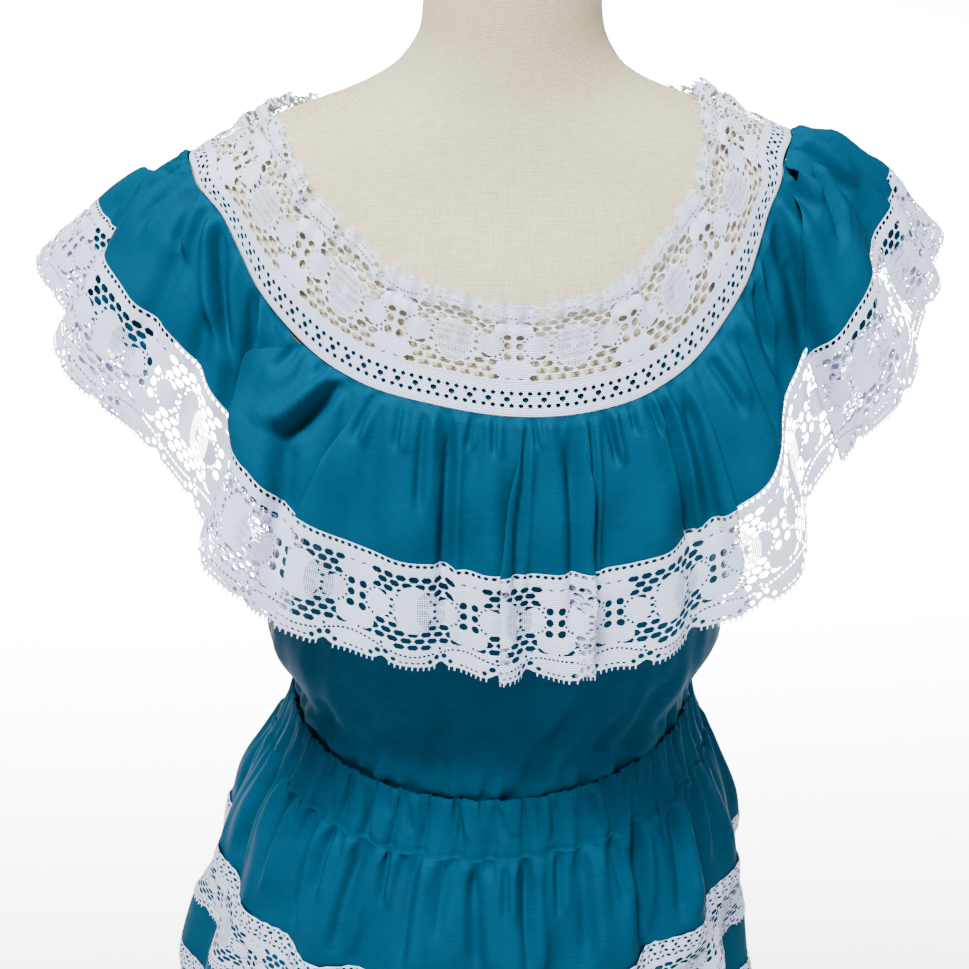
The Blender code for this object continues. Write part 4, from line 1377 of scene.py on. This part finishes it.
# Its fluff is about 1.1 mm across.
FLUFF_PER_METRE = 900.0
fluff = add(tree, "TexNoise", {"Vector": thread.outputs["UV"], "Scale": FLUFF_PER_METRE,
                               "Detail": 3.0})
fluff = add(tree, "Math", {0: fluff.outputs["Fac"], 1: 0.8}, operation="MULTIPLY")
relief = add(tree, "Math", {0: ribs.outputs["Fac"], 1: fluff.outputs[0]}, operation="ADD")
bump = add(tree, "Bump", {"Height": relief.outputs[0], "Strength": 0.8, "Distance": 0.5 * MM})
tone = add(tree, "MixRGB", {"Fac": ribs.outputs["Fac"], "Color1": linear("#B9C6EE"),
                            "Color2": linear("#E6EDFF")})
finish(tree, shader, tone, bump, 0.85)
tree.links.new(cover.outputs[0], shader.inputs["Alpha"])

# The ruffle's lace, sewn to its hem: its repeats in front and behind.
RUFFLE_LACE_REPEATS = (21, 21)
piece = edging("ruffle_lace", GALLOON, LACE_REPEAT, RUFFLE_LACE_REPEATS, ruffle_cloth,
               RUFFLE_DEPTH + LACE_DEPTH / 2, lambda w: RUFFLE_DEPTH + w * MM,
               "ruffle_lace", start=-0.16)


# Round the neck the same lace stands up from the seam and lies on the form, drawn in by a
# thread near its inner edge. Below it runs a white insertion band, bound at its lower edge.

BAND_WIDTH = 0.020
NECK_LACE_WIDTH = 0.047
NECK_OFFSET = 2.5 * MM


def neck_by_width(angle, up):
    """The neckline read upwards from the ruffle's seam."""
    return neckline(angle, up / (NECK_LACE_WIDTH + BAND_WIDTH))


def neck_cloth(angle, up):
    """The neck lace's own surface: it ripples where it is drawn in, and its edge frills."""
    far = ease((up - BAND_WIDTH - 0.014) / 0.016)
    edge = ease((up - BAND_WIDTH - 0.034) / 0.010)
    ripple = folds_at(angle, gathers(86, 1.7 * MM, 51)) * far
    ripple += folds_at(angle, gathers(35, 1.5 * MM, 52)) * far
    ripple += folds_at(angle, gathers(60, 1.6 * MM, 53)) * edge
    thread = -1.6 * MM * np.exp(-((up - BAND_WIDTH - 0.033) / 0.0022) ** 2)
    rise = 0.6 * MM + 2.6 * MM * far + 1.2 * MM * edge
    return raised(neck_by_width, NECK_OFFSET + rise + ripple + thread, angle, up)


# The lace's heading is hidden under the band, so it is left off here. Of the other 59 mm the
# first 22 lie flat, and the last 37 are drawn together to 25.
HEADING = 7.0
LACE_FLAT = 22.0
LACE_DRAWN = 37.0
LACE_DRAWN_TO = 25.0


def neck_depth(w):
    """How far up a spot of the lace comes to lie, above the ruffle's seam."""
    near = np.minimum(w - HEADING, LACE_FLAT)
    far = np.maximum(w - HEADING - LACE_FLAT, 0) * LACE_DRAWN_TO / LACE_DRAWN
    return BAND_WIDTH + (near + far) * MM


NECK_LACE_REPEATS = (7, 7)
NECK_GALLOON = galloon_tile(HEADING)
piece = edging("neck_lace", NECK_GALLOON, LACE_REPEAT, NECK_LACE_REPEATS, neck_cloth,
               BAND_WIDTH + 0.020, neck_depth, "neck_lace")

# The holes of a band's and of a beading's clusters: place, half sizes, millimetres.
BAND_CLUSTER = 10.0
BAND_HOLES = [(-2.5, 6.5, 1.45, 1.35), (2.5, 6.5, 1.45, 1.35), (0.0, 10.1, 1.9, 1.75),
              (-2.5, 13.7, 1.45, 1.35), (2.5, 13.7, 1.45, 1.35)]
BEADING_CLUSTER = 8.25
BEADING_HOLES = [(-2.1, 2.1, 1.25, 0.95), (2.1, 2.1, 1.25, 0.95), (0.0, 5.0, 1.6, 1.3),
                 (-2.1, 7.9, 1.25, 0.95), (2.1, 7.9, 1.25, 0.95)]


def band_tile(holes, cluster, width, bound):
    """One cluster of a band: bound is the width of its thicker lower edge. Points between
    the holes keep its triangles small."""
    half = cluster / 2
    levels = [0.0, 1.0, bound] + [v for v in (6.0, 8.6, 11.2, 14.0, 17.0) if bound < v < width]
    levels = sorted({v for v in levels if v < width - 0.5})
    border = [(half, v) for v in levels] + [(half, width), (0.0, width), (-half, width)]
    border += [(-half, v) for v in reversed(levels)] + [(0.0, 0.0)]
    holes = [oval_points(*hole, sides=6) for hole in holes]
    loose = [(0.0, 1.0), (0.0, bound)] + [(0.0, v) for v in (3.0, 15.8, 17.6) if bound < v < width]
    points, faces = flat_tile(holes, border, loose)
    high = np.array([0.6 * math.exp(-((w - bound / 2) / (bound / 2.4)) ** 2) for _, w in points])
    return points, faces, high


BAND_CLUSTERS = (51, 46)
# The threads' coordinates of a band start here, in millimetres, because those of the discs'
# grid end at 42.
CLEAR_OF_DISCS = 70.0
BAND_TILE = band_tile(BAND_HOLES, BAND_CLUSTER, BAND_WIDTH / MM, 4.0)
band = edging("insertion_band", BAND_TILE, BAND_CLUSTER, BAND_CLUSTERS, neck_cloth,
              BAND_WIDTH / 2, lambda w: w * MM, "insertion_band", aside=CLEAR_OF_DISCS)

# Under the band the seam allowances of ruffle and bodice are turned up together: their cut,
# and how far they reach above and below the seam.
ALLOWANCE_CUT = 0.95
ALLOWANCE = 0.017
BELOW_SEAM = 0.002


def allowance_cloth(angle, up):
    """The allowance lies flat under the band."""
    return raised(neck_by_width, np.full(angle.shape, 1.4 * MM), angle, up)


data = sheet_mesh("seam_allowance", allowance_cloth, FULL_TURN, (-BELOW_SEAM, ALLOWANCE), 360,
                  6, closed=True, unit=(ALLOWANCE_CUT, ALLOWANCE))
piece = keep_data(face_outwards(data), "seam_allowance", poplin, [])


# Two rows of the same lace, woven narrower and joined to a beading, are sewn flat on the
# skirt over its tier seams, picots down.

# The lace's depth below its beading, the beading's own, and how far both lie off the tier.
SKIRT_LACE_DEPTH = 0.048
BEADING = 0.010
LACE_LIFT = 0.8 * MM
# The beading has this many clusters of holes to each repeat of the lace.
CLUSTERS = 8
BEADING_TILE = band_tile(BEADING_HOLES, BEADING_CLUSTER, BEADING / MM, 1.2)


def skirt_lace_cloth(seam):
    """The tier below a seam, raised a little, by the distance down from the seam."""
    under = tier_cloth(seam)

    def surface(angle, down):
        return raised(under, np.full(angle.shape, LACE_LIFT), angle, seam - down)
    return surface


for number, seam, counts in ((1, ROW_1, (8, 8)), (2, ROW_2, (10, 9))):
    surface = skirt_lace_cloth(seam)
    row = f"skirt_lace_{number}"
    piece = edging(row, GALLOON, LACE_REPEAT, counts, surface, 0.03,
                   lambda w: BEADING + w * SKIRT_LACE_DEPTH / LACE_DEPTH * MM, row)
    clusters = tuple(n * CLUSTERS for n in counts)
    piece = edging(f"beading_{number}", BEADING_TILE, BEADING_CLUSTER, clusters, surface,
                   BEADING / 2, lambda w: w * MM, row, aside=CLEAR_OF_DISCS)
